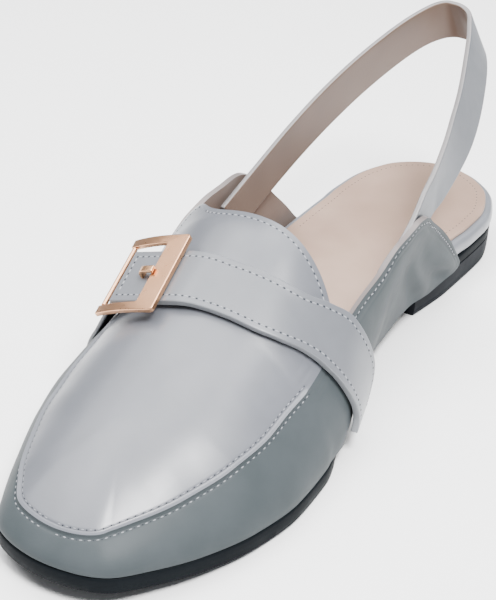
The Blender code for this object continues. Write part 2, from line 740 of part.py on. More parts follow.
def make_buckle_tab():
    """The leather band that carries the buckle: up the lateral wall and on beneath the bar."""
    place = buckle_place()
    under = -(prong_at_bar() + PRONG_THICKNESS / 2 + CLEARANCE + TAB_THICKNESS)
    wall = [("wall", across) for across in spread(TAB_FOOT, TAB_HEAD, 4)]
    carried = [("bar", reach) for reach in spread(BUCKLE_WIDTH / 2, BUCKLE_WIDTH / 8, 4)]

    def corner(row, share):
        kind, value = row
        along = (share - 0.5) * TAB_WIDTH
        if kind == "bar":
            return place @ Vector((value, along, under))
        station = BUCKLE_STATION + along / SOLE_LENGTH
        return last_point(value, station) + CLEARANCE * last_normal(value, station)

    bm = bmesh.new()
    add_grid(bm, wall + carried, BAND_ROWS, corner)
    tab = finish_object("buckle_tab", bm)
    add_wall(tab, TAB_THICKNESS, 1)
    return tab


def wall_inside(side, station, height):
    """How far from the axis the inner face of a wing lies at a height, and above it that of its top edge."""
    turn = turn_at(station)
    low, high = 0.0, 1.0
    for _ in range(24):
        middle = (low + high) / 2
        if wall_point(side, turn, middle).z < height:
            low = middle
        else:
            high = middle
    return abs(wall_point(side, turn, low).x) - WALL


def sling_point(side, turn, share):
    """The outer face of the sling, from its lower edge at -1 to its upper edge at 1."""
    fall = radians(SLING_FALL)
    rise = share * SLING_WIDTH / 2
    station = station_at(turn) + (SLING_REACH + rise * sin(fall)) / SOLE_LENGTH
    height = SLING_HEIGHT - tan(fall) * SOLE_LENGTH * station_at(turn) + rise * cos(fall)
    lean = SLING_WIDTH * sling_lean[side](turn)
    free = BALL_WIDTH * sling_half[side](turn) + (SLING_THICKNESS - share * lean) / 2
    seated = wall_inside(side, max(station, BREAST_STATION), height) - CLEARANCE
    seat = ease(BREAST_STATION + SLING_SEAT[0], BREAST_STATION + SLING_SEAT[1], station)
    half = free + min(seated - free, 0.0) * seat
    return Vector((side * half, lengthwise(station), height))


def make_sling_strap():
    turns = spread(0, turn_at(SLING["station"][-1]), 34)
    rows = [(LATERAL, turn) for turn in reversed(turns)] + [(MEDIAL, turn) for turn in turns[1:]]
    bm = bmesh.new()
    add_grid(bm, rows, BAND_ROWS, lambda row, share: sling_point(*row, 2 * share - 1))
    sling = finish_object("sling_strap", bm)
    add_wall(sling, SLING_THICKNESS, -1)
    return sling


def centre_on_floor(things):
    """An empty that carries all pieces, with the middle of the shoe's footprint at the world's origin."""
    bpy.context.view_layer.update()
    graph = bpy.context.evaluated_depsgraph_get()
    corners = []
    for thing in things:
        solid = thing.evaluated_get(graph)
        corners += [solid.matrix_world @ vert.co for vert in solid.data.vertices]
    shoe = bpy.data.objects.new("shoe", None)
    bpy.context.collection.objects.link(shoe)
    low = [min(corner[axis] for corner in corners) for axis in range(3)]
    high = [max(corner[axis] for corner in corners) for axis in range(3)]
    shoe.location = (-(low[0] + high[0]) / 2, -(low[1] + high[1]) / 2, -low[2])
    for thing in bpy.data.objects:
        if thing is not shoe:
            thing.parent = shoe


for thing in list(bpy.data.objects):
    bpy.data.objects.remove(thing, do_unlink=True)

pieces = [
    make_outsole(),
    make_heel(),
    make_footbed(),
    make_sock(),
    make_upper(),
    make_saddle_strap(),
    make_buckle_tab(),
    make_buckle_frame(),
    make_buckle_bar(),
    make_buckle_prong(),
    make_sling_strap(),
]
for piece in pieces:
    piece.data.materials.append(material(piece.name))
centre_on_floor(pieces)
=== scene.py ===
from bisect import bisect_left
from math import acos, cos, exp, pi, radians, sin, tan

import bmesh
import bpy
from mathutils import Matrix, Vector
from mathutils.bvhtree import BVHTree


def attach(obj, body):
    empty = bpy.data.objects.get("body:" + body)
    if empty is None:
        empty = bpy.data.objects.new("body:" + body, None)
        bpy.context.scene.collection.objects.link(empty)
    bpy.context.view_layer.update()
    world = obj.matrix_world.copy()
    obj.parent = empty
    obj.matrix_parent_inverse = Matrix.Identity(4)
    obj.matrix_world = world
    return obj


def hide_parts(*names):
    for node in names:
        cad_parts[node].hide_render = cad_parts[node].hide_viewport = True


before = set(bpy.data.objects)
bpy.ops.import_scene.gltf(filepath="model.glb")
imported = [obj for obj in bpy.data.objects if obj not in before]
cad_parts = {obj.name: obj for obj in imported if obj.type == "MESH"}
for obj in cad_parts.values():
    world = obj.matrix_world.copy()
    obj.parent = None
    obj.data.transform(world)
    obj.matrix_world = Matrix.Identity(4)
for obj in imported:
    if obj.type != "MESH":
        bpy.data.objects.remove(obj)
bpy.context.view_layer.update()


# View and light
# The camera stands in front of the medial side and looks down along the shoe, as the photograph does.
# The floor is one wide white sheet, and four soft lights leave hardly a shadow.
camera = bpy.data.objects.new("camera", bpy.data.cameras.new("camera"))
camera.data.sensor_fit = "VERTICAL"
camera.data.sensor_height = 36
camera.data.lens = 83.37
camera.location = (0.17838, -0.32255, 0.25898)
camera.rotation_euler = (Matrix.Rotation(radians(30.683), 3, "Z")
                         @ Matrix.Rotation(radians(90 - 32.759), 3, "X")
                         @ Matrix.Rotation(radians(2.406), 3, "Z")).to_euler()
bpy.context.collection.objects.link(camera)
bpy.context.scene.camera = camera

for name, place, size, power in (
    ("key", (-0.25, -0.10, 1.00), 0.70, 11.0),
    ("left", (-0.62, -0.04, 0.78), 0.70, 7.5),
    ("front", (0.36, -0.20, 0.85), 0.32, 23.0),
    ("rear", (0.00, 0.45, 0.95), 0.70, 12.0),
):
    lamp = bpy.data.objects.new(name, bpy.data.lights.new(name, "AREA"))
    lamp.data.size = size
    lamp.data.energy = power
    lamp.location = place
    lamp.rotation_euler = Vector(place).to_track_quat("Z", "Y").to_euler()
    bpy.context.collection.objects.link(lamp)

world = bpy.data.worlds.new("studio")
world.use_nodes = True
world.node_tree.nodes["Background"].inputs["Color"].default_value = (0.94, 0.96, 1.0, 1.0)
world.node_tree.nodes["Background"].inputs["Strength"].default_value = 0.32
bpy.context.scene.world = world

bm = bmesh.new()
bmesh.ops.create_grid(bm, x_segments=1, y_segments=1, size=4.0)
floor = bpy.data.objects.new("floor", bpy.data.meshes.new("floor"))
bm.to_mesh(floor.data)
bm.free()
white = bpy.data.materials.new("floor")
white.use_nodes = True
white.node_tree.nodes["Principled BSDF"].inputs["Base Color"].default_value = (0.92, 0.92, 0.92, 1.0)
white.node_tree.nodes["Principled BSDF"].inputs["Roughness"].default_value = 0.9
floor.data.materials.append(white)
bpy.context.collection.objects.link(floor)


# Outsole
# One moulded slab of black rubber under the whole foot, flat under the ball and arched in the waist.
# It is cemented to the bottom of the upper, and its edge is trimmed upright and buffed matt.
LATERAL = -1
MEDIAL = 1
SOLE_LENGTH = 0.250
BALL_WIDTH = 0.0844
HEEL_RISE = 0.0120
TOE_SPRING = 0.0050
TREAD_THICKNESS = 0.00515
WAIST_THICKNESS = 0.0037
SPRING_STATION = 0.67
# The middle of the footprint, which is the origin, lies this far from the middle of the sole's axis
MIDDLE = Vector((0.000605, -0.000198, 0.0))
SOLE_ROWS = 260
# Half widths of the sole at stations from heel to toe, as shares of the ball width
SOLE = (
    ("station", "lateral", "medial"),
    (0.000, 0.000, 0.000),
    (0.016, 0.158, 0.156),
    (0.056, 0.273, 0.273),
    (0.128, 0.336, 0.333),
    (0.232, 0.350, 0.320),
    (0.352, 0.353, 0.276),
    (0.448, 0.378, 0.284),
    (0.540, 0.432, 0.352),
    (0.620, 0.474, 0.444),
    (0.688, 0.493, 0.506),
    (0.752, 0.480, 0.515),
    (0.820, 0.430, 0.484),
    (0.888, 0.347, 0.412),
    (0.944, 0.262, 0.316),
    (0.980, 0.188, 0.230),
    (1.000, -0.013, 0.013),
)
ARCH = (
    ("station", "lift"),
    (0.00, 1.00), (0.35, 1.00), (0.42, 0.71), (0.52, 0.27), (0.59, 0.04), (0.63, 0.00), (1.00, 0.00),
)


def smooth_curve(table, name, place=lambda station: station):
    """A smooth function through one column of a table, with no overshoot between its rows."""
    names, *rows = table
    places = [place(row[0]) for row in rows]
    values = [row[names.index(name)] for row in rows]
    step = [after - before for before, after in zip(places, places[1:])]
    rise = [(after - before) / width for before, after, width in zip(values, values[1:], step)]
    slope = [rise[0]] + [0.0] * (len(rise) - 1) + [rise[-1]]
    for i in range(1, len(rise)):
        if rise[i - 1] * rise[i] > 0:
            before = 2 * step[i] + step[i - 1]
            after = step[i] + 2 * step[i - 1]
            slope[i] = (before + after) / (before / rise[i - 1] + after / rise[i])

    def value(at):
        i = min(max(bisect_left(places, at) - 1, 0), len(step) - 1)
        t = (at - places[i]) / step[i]
        ends = values[i] * (1 + 2 * t) * (1 - t) ** 2 + values[i + 1] * t * t * (3 - 2 * t)
        return ends + step[i] * t * (1 - t) * (slope[i] * (1 - t) - slope[i + 1] * t)

    return value


def turn_at(station):
    """The angle of a station, which opens the round ends of heel and toe evenly."""
    return acos(1 - 2 * min(max(station, 0.0), 1.0))


def station_at(turn):
    return (1 - cos(turn)) / 2


def spread(start, end, count):
    return [start + (end - start) * i / count for i in range(count + 1)]


sole_half = {LATERAL: smooth_curve(SOLE, "lateral", turn_at), MEDIAL: smooth_curve(SOLE, "medial", turn_at)}
arch_lift = smooth_curve(ARCH, "lift")


def lengthwise(station):
    return SOLE_LENGTH * (0.5 - station)


def outline_place(side, turn):
    return Vector((side * BALL_WIDTH * sole_half[side](turn), lengthwise(station_at(turn))))


def inward(side, turn):
    """The direction in plan from the sole's outline into the shoe."""
    nudge = 1e-4
    if turn < nudge:
        return Vector((0.0, -1.0))
    if turn > pi - nudge:
        return Vector((0.0, 1.0))
    along = outline_place(side, turn + nudge) - outline_place(side, turn - nudge)
    return Vector((side * along.y, -side * along.x)).normalized()


def outline(side, turn, inset):
    return outline_place(side, turn) + inset * inward(side, turn)


def sole_top(station):
    spring = TOE_SPRING * (max(station - SPRING_STATION, 0.0) / (1 - SPRING_STATION)) ** 2
    return TREAD_THICKNESS + (HEEL_RISE - TREAD_THICKNESS) * arch_lift(station) + spring


def sole_bottom(station):
    thinning = min(arch_lift(station) * 2, 1.0)
    return sole_top(station) - TREAD_THICKNESS + (TREAD_THICKNESS - WAIST_THICKNESS) * thinning


class Value:
    """A number that varies over a finish, which Python's own arithmetic works on."""

    def __init__(self, finish, socket):
        self.finish = finish
        self.socket = socket

    def maths(self, operation, first, second):
        made = self.finish.node("ShaderNodeMath", {"operation": operation}, {0: first, 1: second})
        return Value(self.finish, made.outputs[0])

    def __add__(self, other):
        return self.maths("ADD", self, other)

    def __sub__(self, other):
        return self.maths("SUBTRACT", self, other)

    def __rsub__(self, other):
        return self.maths("SUBTRACT", other, self)

    def __mul__(self, other):
        return self.maths("MULTIPLY", self, other)

    __radd__ = __add__
    __rmul__ = __mul__


class Finish:
    """One material: its shader's fixed sockets, and what varies over the surface."""

    def __init__(self, name, fixed):
        self.material = bpy.data.materials.new(name)
        self.material.use_nodes = True
        self.tree = self.material.node_tree
        self.shader = self.tree.nodes["Principled BSDF"]
        for socket, value in fixed.items():
            self.shader.inputs[socket].default_value = value

    def node(self, kind, settings, inputs):
        made = self.tree.nodes.new(kind)
        for name, value in settings.items():
            setattr(made, name, value)
        for name, value in inputs.items():
            if isinstance(value, Value):
                self.tree.links.new(value.socket, made.inputs[name])
            else:
                made.inputs[name].default_value = value
        return made

    def place(self):
        return Value(self, self.node("ShaderNodeTexCoord", {}, {}).outputs["Object"])

    def noise(self, size, detail=2.0):
        """A cloudy pattern with features of about this size in metres."""
        inputs = {"Vector": self.place(), "Scale": 1 / size, "Detail": detail}
        return Value(self, self.node("ShaderNodeTexNoise", {}, inputs).outputs["Fac"])

    def cells(self, size):
        """Small cells of about this size in metres, dark in their middles."""
        inputs = {"Vector": self.place(), "Scale": 1 / size}
        return Value(self, self.node("ShaderNodeTexVoronoi", {}, inputs).outputs["Distance"])

    def between(self, value, low, high):
        """0 where the value is below low, 1 above high."""
        inputs = {"Value": value, "From Min": low, "From Max": high}
        return Value(self, self.node("ShaderNodeMapRange", {}, inputs).outputs[0])

    def mixed(self, share, first, second):
        """A colour between two others."""
        inputs = {0: share, 6: (*first, 1.0), 7: (*second, 1.0)}
        return Value(self, self.node("ShaderNodeMix", {"data_type": "RGBA"}, inputs).outputs[2])

    def feed(self, socket, value):
        self.tree.links.new(value.socket, self.shader.inputs[socket])

    def bump(self, height, depth, strength=1.0):
        inputs = {"Height": height, "Distance": depth, "Strength": strength}
        self.feed("Normal", Value(self, self.node("ShaderNodeBump", {}, inputs).outputs[0]))


def add_grid(bm, rows, across, place):
    """A grid of faces in a bmesh, each corner put where place says for its row and column."""
    made = bmesh.ops.create_grid(bm, x_segments=len(across) - 1, y_segments=len(rows) - 1, size=0.5)
    for vert in made["verts"]:
        row = rows[round((vert.co.y + 0.5) * (len(rows) - 1))]
        column = across[round((vert.co.x + 0.5) * (len(across) - 1))]
        vert.co = place(row, column)


def finish_piece(name, bm, finishes, closed=False):
    """The bmesh as a piece that rides on the shoe, with its finishes."""
    bmesh.ops.remove_doubles(bm, verts=bm.verts, dist=2e-6)
    if closed:
        bmesh.ops.holes_fill(bm, edges=[edge for edge in bm.edges if edge.is_boundary])
        bmesh.ops.recalc_face_normals(bm, faces=bm.faces)
    bmesh.ops.translate(bm, vec=MIDDLE, verts=bm.verts)
    mesh = bpy.data.meshes.new(name)
    bm.to_mesh(mesh)
    bm.free()
    mesh.shade_smooth()
    mesh.set_sharp_from_angle(angle=radians(48))
    piece = bpy.data.objects.new(name, mesh)
    bpy.context.collection.objects.link(piece)
    for finish in finishes:
        mesh.materials.append(finish.material)
    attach(piece, "root")
    return piece


def slab(name, turns, profile, bottom, top, inset, finish):
    """A layer of the bottom: the outline lofted between two heights, with a profiled edge."""
    loop = [(LATERAL, *step) for step in profile] + [(MEDIAL, *step) for step in reversed(profile)]
    loop.append(loop[0])

    def place(turn, corner):
        side, edge_in, share = loop[corner]
        station = station_at(turn)
        plan = outline(side, turn, inset(station) + edge_in)
        return Vector((plan.x, plan.y, bottom(station) * (1 - share) + top(station) * share))

    bm = bmesh.new()
    add_grid(bm, turns, list(range(len(loop))), place)
    return finish_piece(name, bm, [finish], closed=True)


def black_rubber(name, pale, deep):
    """Matt black rubber, dusty in patches and finely pitted."""
    finish = Finish(name, {"Coat Weight": 0.0, "Specular IOR Level": 0.04})
    finish.feed("Base Color", finish.mixed(finish.noise(0.02, 4.0), deep, pale))
    finish.feed("Roughness", 0.46 + 0.20 * finish.noise(0.006, 4.0))
    finish.bump(finish.noise(0.0004, 3.0), 0.00006, 0.5)
    return finish


# The edge's profile from bottom to top: how far in it lies, in metres, and its share of the height
SOLE_EDGE = (
    (0.0012, 0.0), (0.0004, 0.03), (0.0, 0.10), (0.0, 0.5), (0.0, 0.86), (0.0002, 0.95), (0.0006, 1.0),
)
sole_rubber = black_rubber("sole_rubber", (0.006, 0.008, 0.010), (0.002, 0.003, 0.004))
outsole = slab(
    "outsole_rubber", spread(0, pi, SOLE_ROWS), SOLE_EDGE,
    sole_bottom, sole_top, lambda station: 0.0, sole_rubber)
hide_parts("outsole")


# Heel
# A low block of black rubber glued under the outsole, its front face cut straight across.
# Its top piece is a slightly narrower slice of harder rubber that meets the ground.
BREAST_STATION = 0.31
CLEARANCE = 0.0003
HEEL_EDGE = (
    (0.0009, 0.0), (0.0003, 0.04), (0.0002, 0.12), (0.0002, 0.215), (0.0004, 0.225), (0.0004, 0.24),
    (0.0001, 0.25), (0.0, 0.6), (0.0, 1.0),
)
heel_rubber = black_rubber("heel_rubber", (0.014, 0.016, 0.020), (0.006, 0.007, 0.009))
heel = slab(
    "heel_block", spread(0, turn_at(BREAST_STATION), 110), HEEL_EDGE,
    lambda station: 0.0, lambda station: sole_bottom(station) - CLEARANCE, lambda station: 0.0,
    heel_rubber)
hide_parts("heel")


# Footbed
# A shaped board wrapped in the upper's grey leather, which rounds over its edge behind the wings.
# The wrap is drawn tight and cemented, so it shows no seam but a soft grain.
WALL = 0.0018
BOARD_THICKNESS = 0.0052
BED = (
    ("station", "inset", "thickness"),
    (0.000, -0.22, 1.00),
    (0.170, -0.22, 1.00),
    (0.205, 0.10, 1.00),
    (0.350, 0.10, 0.95),
    (0.500, 0.10, 0.66),
    (0.550, 0.30, 0.56),
    (0.610, 1.75, 0.46),
    (0.900, 2.00, 0.38),
    (1.000, 2.30, 0.38),
)
BED_EDGE = (
    (0.0009, 0.0), (0.0005, 0.06), (0.0002, 0.16), (0.0, 0.32), (0.0, 0.48), (0.0001, 0.62), (0.0003, 0.75),
    (0.0007, 0.88), (0.0011, 0.955), (0.0017, 0.995), (0.0024, 1.0),
)
bed_inset = smooth_curve(BED, "inset")
bed_share = smooth_curve(BED, "thickness")


def bed_bottom(station):
    return sole_top(station) + CLEARANCE


def bed_top(station):
    return bed_bottom(station) + BOARD_THICKNESS * bed_share(station)


def smooth_leather(name, pale, deep, gloss=0.34, dressing=0.30, specular=0.45):
    """Smooth dyed leather: cloudy in tone, with fine pores and a thin semi-gloss dressing."""
    finish = Finish(name, {"Coat Roughness": 0.28, "Coat IOR": 1.45, "Specular IOR Level": specular})
    tone = 0.65 * finish.noise(0.045, 2.0) + 0.35 * finish.noise(0.009, 3.0)
    finish.feed("Base Color", finish.mixed(finish.between(tone, 0.32, 0.68), deep, pale))
    finish.feed("Roughness", gloss - 0.05 + 0.14 * finish.noise(0.004, 4.0))
    finish.feed("Coat Weight", dressing * (0.75 + 0.65 * finish.noise(0.02, 2.0)))
    grain = 0.6 * finish.cells(0.00055) + 0.4 * finish.noise(0.0011, 3.0)
    finish.bump(grain, 0.00003, 0.5)
    return finish


bed_leather = smooth_leather("bed_leather", (0.165, 0.173, 0.192), (0.134, 0.141, 0.156))
footbed = slab(
    "footbed_wrap", spread(0, pi, SOLE_ROWS), BED_EDGE,
    bed_bottom, bed_top, lambda station: WALL * bed_inset(station), bed_leather)
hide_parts("footbed")


# Sock
# A full-length insole cover of thin beige pink lining leather, laid on the footbed and glued.
# Its edge is cut a few millimetres short of the wrap, and darkens where it meets it.
SOCK_THICKNESS = 0.0010
SOCK_MARGIN = 0.0030
SOCK_EDGE = ((0.0, 0.0), (0.0, 0.4), (0.0001, 0.7), (0.0003, 0.92), (0.0007, 1.0))


def sock_bottom(station):
    return bed_top(station) + CLEARANCE


def sock_top(station):
    return sock_bottom(station) + SOCK_THICKNESS


def lining_leather(name, pale, deep):
    """Thin lining leather with a soft sheen and a fine nap."""
    finish = Finish(name, {"Sheen Weight": 0.15, "Sheen Roughness": 0.4, "Specular IOR Level": 0.4})
    tone = 0.6 * finish.noise(0.05, 2.0) + 0.4 * finish.noise(0.012, 3.0)
    finish.feed("Base Color", finish.mixed(finish.between(tone, 0.34, 0.66), deep, pale))
    finish.feed("Roughness", 0.36 + 0.16 * finish.noise(0.006, 3.0))
    finish.bump(0.5 * finish.cells(0.0007) + 0.5 * finish.noise(0.0016, 3.0), 0.00004, 0.5)
    return finish


# The sock's colour is the beige pink lining leather's own, made about a third paler throughout as a painted
# highlight of light from behind the shoe.
sock_lining = lining_leather("sock_lining", (0.320, 0.220, 0.170), (0.256, 0.168, 0.125))
sock = slab(
    "sock_cover", spread(0, pi, 220), SOCK_EDGE,
    sock_bottom, sock_top, lambda station: WALL * bed_inset(station) + SOCK_MARGIN, sock_lining)
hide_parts("sock")


# Upper
# Two panels of smooth grey leather over a beige lining: the side wall, which runs round the toe and rises in
# a wing on each side, and the vamp, which ends in a round tongue. They meet in a raised seam, sewn through on
# both sides, and the wings' top edges are folded over and stitched.
INSTEP_RISE = 0.052
# Ridges and grooves beside the toe seam and beside a wing's folded edge, in metres: height, distance from the
# edge and half width
SEAM_FORM = ((0.0006, 0.0, 0.00032), (-0.00020, 0.0009, 0.0003))
FOLD_FORM = ((-0.00020, 0.0023, 0.0004), (-0.00012, 0.0046, 0.0005))
# Half width of the strip in which both panels turn up into the seam
SEAM_TURN = 0.0007
NOTCH_STATION = 0.624
TONGUE_STATION = 0.553
FAN_STATION = 0.832
FAN_SOFTNESS = 0.056
SEAM_REACH = 0.60
CROWN = 2.3
WALL_LEAN = 0.62
WALL_LOW = 0.33
WALL_HIGH = 0.72
TONGUE_ROUNDING = 2.5
TONGUE_SKEW = 0.17
TONGUE_SKEW_POWER = 4
HANG_FADE = (0.006, 0.05)
SEAM_FADE = (0.03, 0.07)
# The upper's edge on each side: the wing's top edge up to the notch, then the toe seam
MEDIAL_EDGE = (
    ("station", "inset", "rise", "fullness", "hang"),
    (0.220, -0.026, 0.017, 0.002, 0.45),
    (0.236, -0.028, 0.119, 0.003, 0.60),
    (0.260, -0.035, 0.269, 0.004, 0.80),
    (0.292, -0.050, 0.423, 0.005, 1.00),
    (0.332, -0.075, 0.567, 0.006, 1.00),
    (0.372, -0.090, 0.690, 0.012, 1.00),
    (0.396, -0.090, 0.712, 0.018, 1.00),
    (0.436, -0.083, 0.705, 0.034, 1.00),
    (0.484, -0.057, 0.635, 0.048, 1.00),
    (0.528, -0.015, 0.600, 0.048, 1.00),
    (0.568, 0.018, 0.575, 0.038, 0.60),
    (0.628, 0.068, 0.510, 0.028, 0.00),
    (0.680, 0.104, 0.456, 0.020, 0.00),
    (0.732, 0.120, 0.406, 0.018, 0.00),
    (0.800, 0.118, 0.346, 0.016, 0.00),
    (0.860, 0.118, 0.280, 0.013, 0.00),
    (0.924, 0.108, 0.216, 0.011, 0.00),
    (0.970, 0.104, 0.166, 0.010, 0.00),
    (1.000, 0.076, 0.139, 0.010, 0.00),
)
LATERAL_EDGE = (
    ("station", "inset", "rise", "fullness", "hang"),
    (0.248, -0.026, 0.019, 0.001, 0.60),
    (0.264, -0.024, 0.078, 0.001, 0.80),
    (0.298, -0.020, 0.242, 0.001, 1.00),
    (0.332, -0.016, 0.396, 0.001, 1.00),
    (0.388, -0.015, 0.660, 0.001, 1.00),
    (0.420, -0.012, 0.755, 0.001, 1.00),
    (0.448, 0.000, 0.779, 0.001, 1.00),
    (0.480, 0.008, 0.780, 0.002, 1.00),
    (0.520, 0.026, 0.750, 0.004, 1.00),
    (0.560, 0.041, 0.660, 0.014, 0.60),
    (0.628, 0.096, 0.505, 0.032, 0.00),
    (0.680, 0.104, 0.434, 0.036, 0.00),
    (0.732, 0.102, 0.376, 0.032, 0.00),
    (0.800, 0.088, 0.310, 0.020, 0.00),
    (0.860, 0.066, 0.246, 0.008, 0.00),
    (0.924, 0.060, 0.190, 0.005, 0.00),
    (0.976, 0.074, 0.150, 0.008, 0.00),
    (1.000, 0.076, 0.139, 0.010, 0.00),
)
# The crest of the vamp and tongue
CREST = (
    ("station", "rise", "shift"),
    (0.500, 1.050, -0.030),
    (0.548, 1.008, -0.030),
    (0.564, 1.000, -0.030),
    (0.628, 0.879, -0.028),
    (0.696, 0.735, -0.020),
    (0.760, 0.613, -0.008),
    (0.820, 0.512, 0.000),
    (0.900, 0.380, 0.000),
)
# Soft pulls in the medial wing where it is lasted over the sole: from and to, each a station and a share of
# the wall's height, then the height and half width in metres
PULLS = (
    (0.235, 0.30, 0.330, 0.62, 0.0016, 0.0030),
    (0.300, 0.05, 0.375, 0.48, 0.0019, 0.0034),
    (0.250, 0.15, 0.300, 0.30, -0.0010, 0.0024),
    (0.335, 0.12, 0.400, 0.62, -0.0015, 0.0034),
)
edges = {LATERAL: LATERAL_EDGE, MEDIAL: MEDIAL_EDGE}
edge_inset = {side: smooth_curve(edges[side], "inset") for side in edges}
edge_rise = {side: smooth_curve(edges[side], "rise") for side in edges}
edge_fullness = {side: smooth_curve(edges[side], "fullness") for side in edges}
edge_hang = {side: smooth_curve(edges[side], "hang") for side in edges}
crest_rise = smooth_curve(CREST, "rise")
crest_shift = smooth_curve(CREST, "shift")


def ease(start, end, at):
    """0 before the start, 1 after the end, and smooth between them."""
    t = min(max((at - start) / (end - start), 0.0), 1.0)
    return t * t * (3 - 2 * t)


def fan_station(station):
    """The crest station that a rib runs to: its own, until the ribs fan out round the toe."""
    if station < FAN_STATION - FAN_SOFTNESS:
        return station
    if station > FAN_STATION + FAN_SOFTNESS:
        return FAN_STATION
    return FAN_STATION - (FAN_STATION + FAN_SOFTNESS - station) ** 2 / (4 * FAN_SOFTNESS)


def crest_height(station):
    return sole_top(station) + INSTEP_RISE * crest_rise(station)


def feather_point(side, turn):
    """The upper's lowest outer point at a rib."""
    station = station_at(turn)
    outset = 1 - ease(NOTCH_STATION + HANG_FADE[0], NOTCH_STATION + HANG_FADE[1], station)
    plan = outline(side, turn, CLEARANCE - outset * (WALL + 2 * CLEARANCE))
    thickness = sole_top(station) - sole_bottom(station)
    return Vector((plan.x, plan.y, sole_top(station) + CLEARANCE - edge_hang[side](station) * thickness))


def edge_point(side, turn):
    """The wing's top edge, or in front of the notch the toe seam."""
    station = station_at(turn)
    plan = outline(side, turn, BALL_WIDTH * edge_inset[side](station))
    return Vector((plan.x, plan.y, sole_top(station) + INSTEP_RISE * edge_rise[side](station)))


def wall_point(side, turn, share):
    """The outer face of the side wall, from the feather edge at 0 to the top edge or seam at 1."""
    foot = feather_point(side, turn)
    top = edge_point(side, turn)
    fullness = BALL_WIDTH * edge_fullness[side](station_at(turn)) * inward(side, turn).to_3d()
    low = foot - fullness
    low.z = foot.z + WALL_LOW * (top.z - foot.z)
    high = foot.lerp(top, WALL_LEAN) - fullness
    high.z = foot.z + WALL_HIGH * (top.z - foot.z)
    rest = 1 - share
    return (rest ** 3 * foot + 3 * rest * rest * share * low
            + 3 * rest * share * share * high + share ** 3 * top)


def crest_point(station):
    return Vector((BALL_WIDTH * crest_shift(station), lengthwise(station), crest_height(station)))


def vamp_point(side, turn, share):
    """The outer face of the vamp or tongue, from the crest at 0 to the seam at 1."""
    nudge = 0.002
    centre = fan_station(station_at(turn))
    crest = crest_point(centre)
    seam = edge_point(side, turn)
    grade = (crest_height(centre + nudge) - crest_height(centre - nudge)) / (2 * nudge * SOLE_LENGTH)
    slant = grade * (crest.y - seam.y)
    plan = crest.xy.lerp(seam.xy, share)
    height = crest.z + slant * share + (seam.z - crest.z - slant) * share ** CROWN
    return Vector((plan.x, plan.y, height))


def last_point(across, station):
    """A point of the closed last surface, over vamp and side walls."""
    side = MEDIAL if across >= 0 else LATERAL
    reach = abs(across)
    turn = turn_at(station)
    if reach <= SEAM_REACH:
        return vamp_point(side, turn, reach / SEAM_REACH)
    return wall_point(side, turn, (1 - reach) / (1 - SEAM_REACH))


def last_normal(across, station):
    over = last_point(across + 0.04, station) - last_point(across - 0.04, station)
    along = last_point(across, station + 0.01) - last_point(across, station - 0.01)
    return along.cross(over).normalized()


def tongue_place(turn, share):
    """The rib and the share of it at a point of the tongue, whose rear end is round and skewed laterally."""
    station = station_at(turn)
    back = min(max((NOTCH_STATION - station) / (NOTCH_STATION - TONGUE_STATION), 0.0), 1.0)
    share *= (1 - back ** TONGUE_ROUNDING) ** (1 / TONGUE_ROUNDING)
    if share < 0:
        station -= TONGUE_SKEW * share ** TONGUE_SKEW_POWER * back
    return turn_at(station), share


def bell(distance, width):
    """A soft bump of height 1, gone at about twice its half width."""
    return exp(-(distance / width) ** 2)


def edge_relief(side, turn, distance):
    """How far the leather stands out near its edge: the raised toe seam, or the wing's stitched fold."""
    seam = ahead(turn)
    ridge = sum(rise * bell(distance - away, width) for rise, away, width in SEAM_FORM)
    fold = sum(rise * bell(distance - away, width) for rise, away, width in FOLD_FORM)
    return seam * ridge + (1 - seam) * fold


def ahead(turn):
    """0 at the wings, 1 in front of the strap, where the seam is raised."""
    return ease(NOTCH_STATION + SEAM_FADE[0], NOTCH_STATION + SEAM_FADE[1], station_at(turn))


def wall_out(side, turn, share):
    """The wall's outward direction."""
    nudge = 0.004
    over = wall_point(side, turn, share + nudge) - wall_point(side, turn, share - nudge)
    along = wall_point(side, turn + nudge, share) - wall_point(side, turn - nudge, share)
    return side * over.cross(along).normalized()


pulls = [(wall_point(MEDIAL, turn_at(start), low), wall_point(MEDIAL, turn_at(end), high), rise, width)
         for start, low, end, high, rise, width in PULLS]


def pull_relief(side, place):
    """How far the lasting pulls stand out at a place on the wall."""
    relief = 0.0
    if side == MEDIAL and place.y > lengthwise(0.5):
        for first, last, rise, width in pulls:
            way = last - first
            share = min(max((place - first).dot(way) / way.length_squared, 0.0), 1.0)
            distance = (place - first - share * way).length
            relief += rise * bell(distance, width) * (1 - 0.75 * abs(2 * share - 1) ** 2)
    return relief


def seam_up(side, turn):
    return (Vector((0, 0, 1)) - inward(side, turn).to_3d()).normalized()


def add_shell(bm, inner, rows, across, place):
    """A grid of faces whose corners carry both their outer place and the lining's place behind it."""
    made = bmesh.ops.create_grid(bm, x_segments=len(across) - 1, y_segments=len(rows) - 1, size=0.5)
    for vert in made["verts"]:
        row = rows[round((vert.co.y + 0.5) * (len(rows) - 1))]
        column = across[round((vert.co.x + 0.5) * (len(across) - 1))]
        vert.co, vert[inner] = place(row, column)


def line_shell(bm, inner):
    """Adds the lining behind the outer faces and closes the rim between them."""
    bmesh.ops.remove_doubles(bm, verts=bm.verts, dist=2e-6)
    outer = bm.verts[:] + bm.edges[:] + bm.faces[:]
    rim = bmesh.ops.extrude_edge_only(bm, edges=[edge for edge in bm.edges if edge.is_boundary])["geom"]
    back = bmesh.ops.duplicate(bm, geom=outer)["geom"]
    for part in rim + back:
        if isinstance(part, bmesh.types.BMVert):
            part.co = part[inner]
    bmesh.ops.reverse_faces(bm, faces=[part for part in back if isinstance(part, bmesh.types.BMFace)])
    for finish, parts in ((1, back), (2, rim)):
        for part in parts:
            if isinstance(part, bmesh.types.BMFace):
                part.material_index = finish


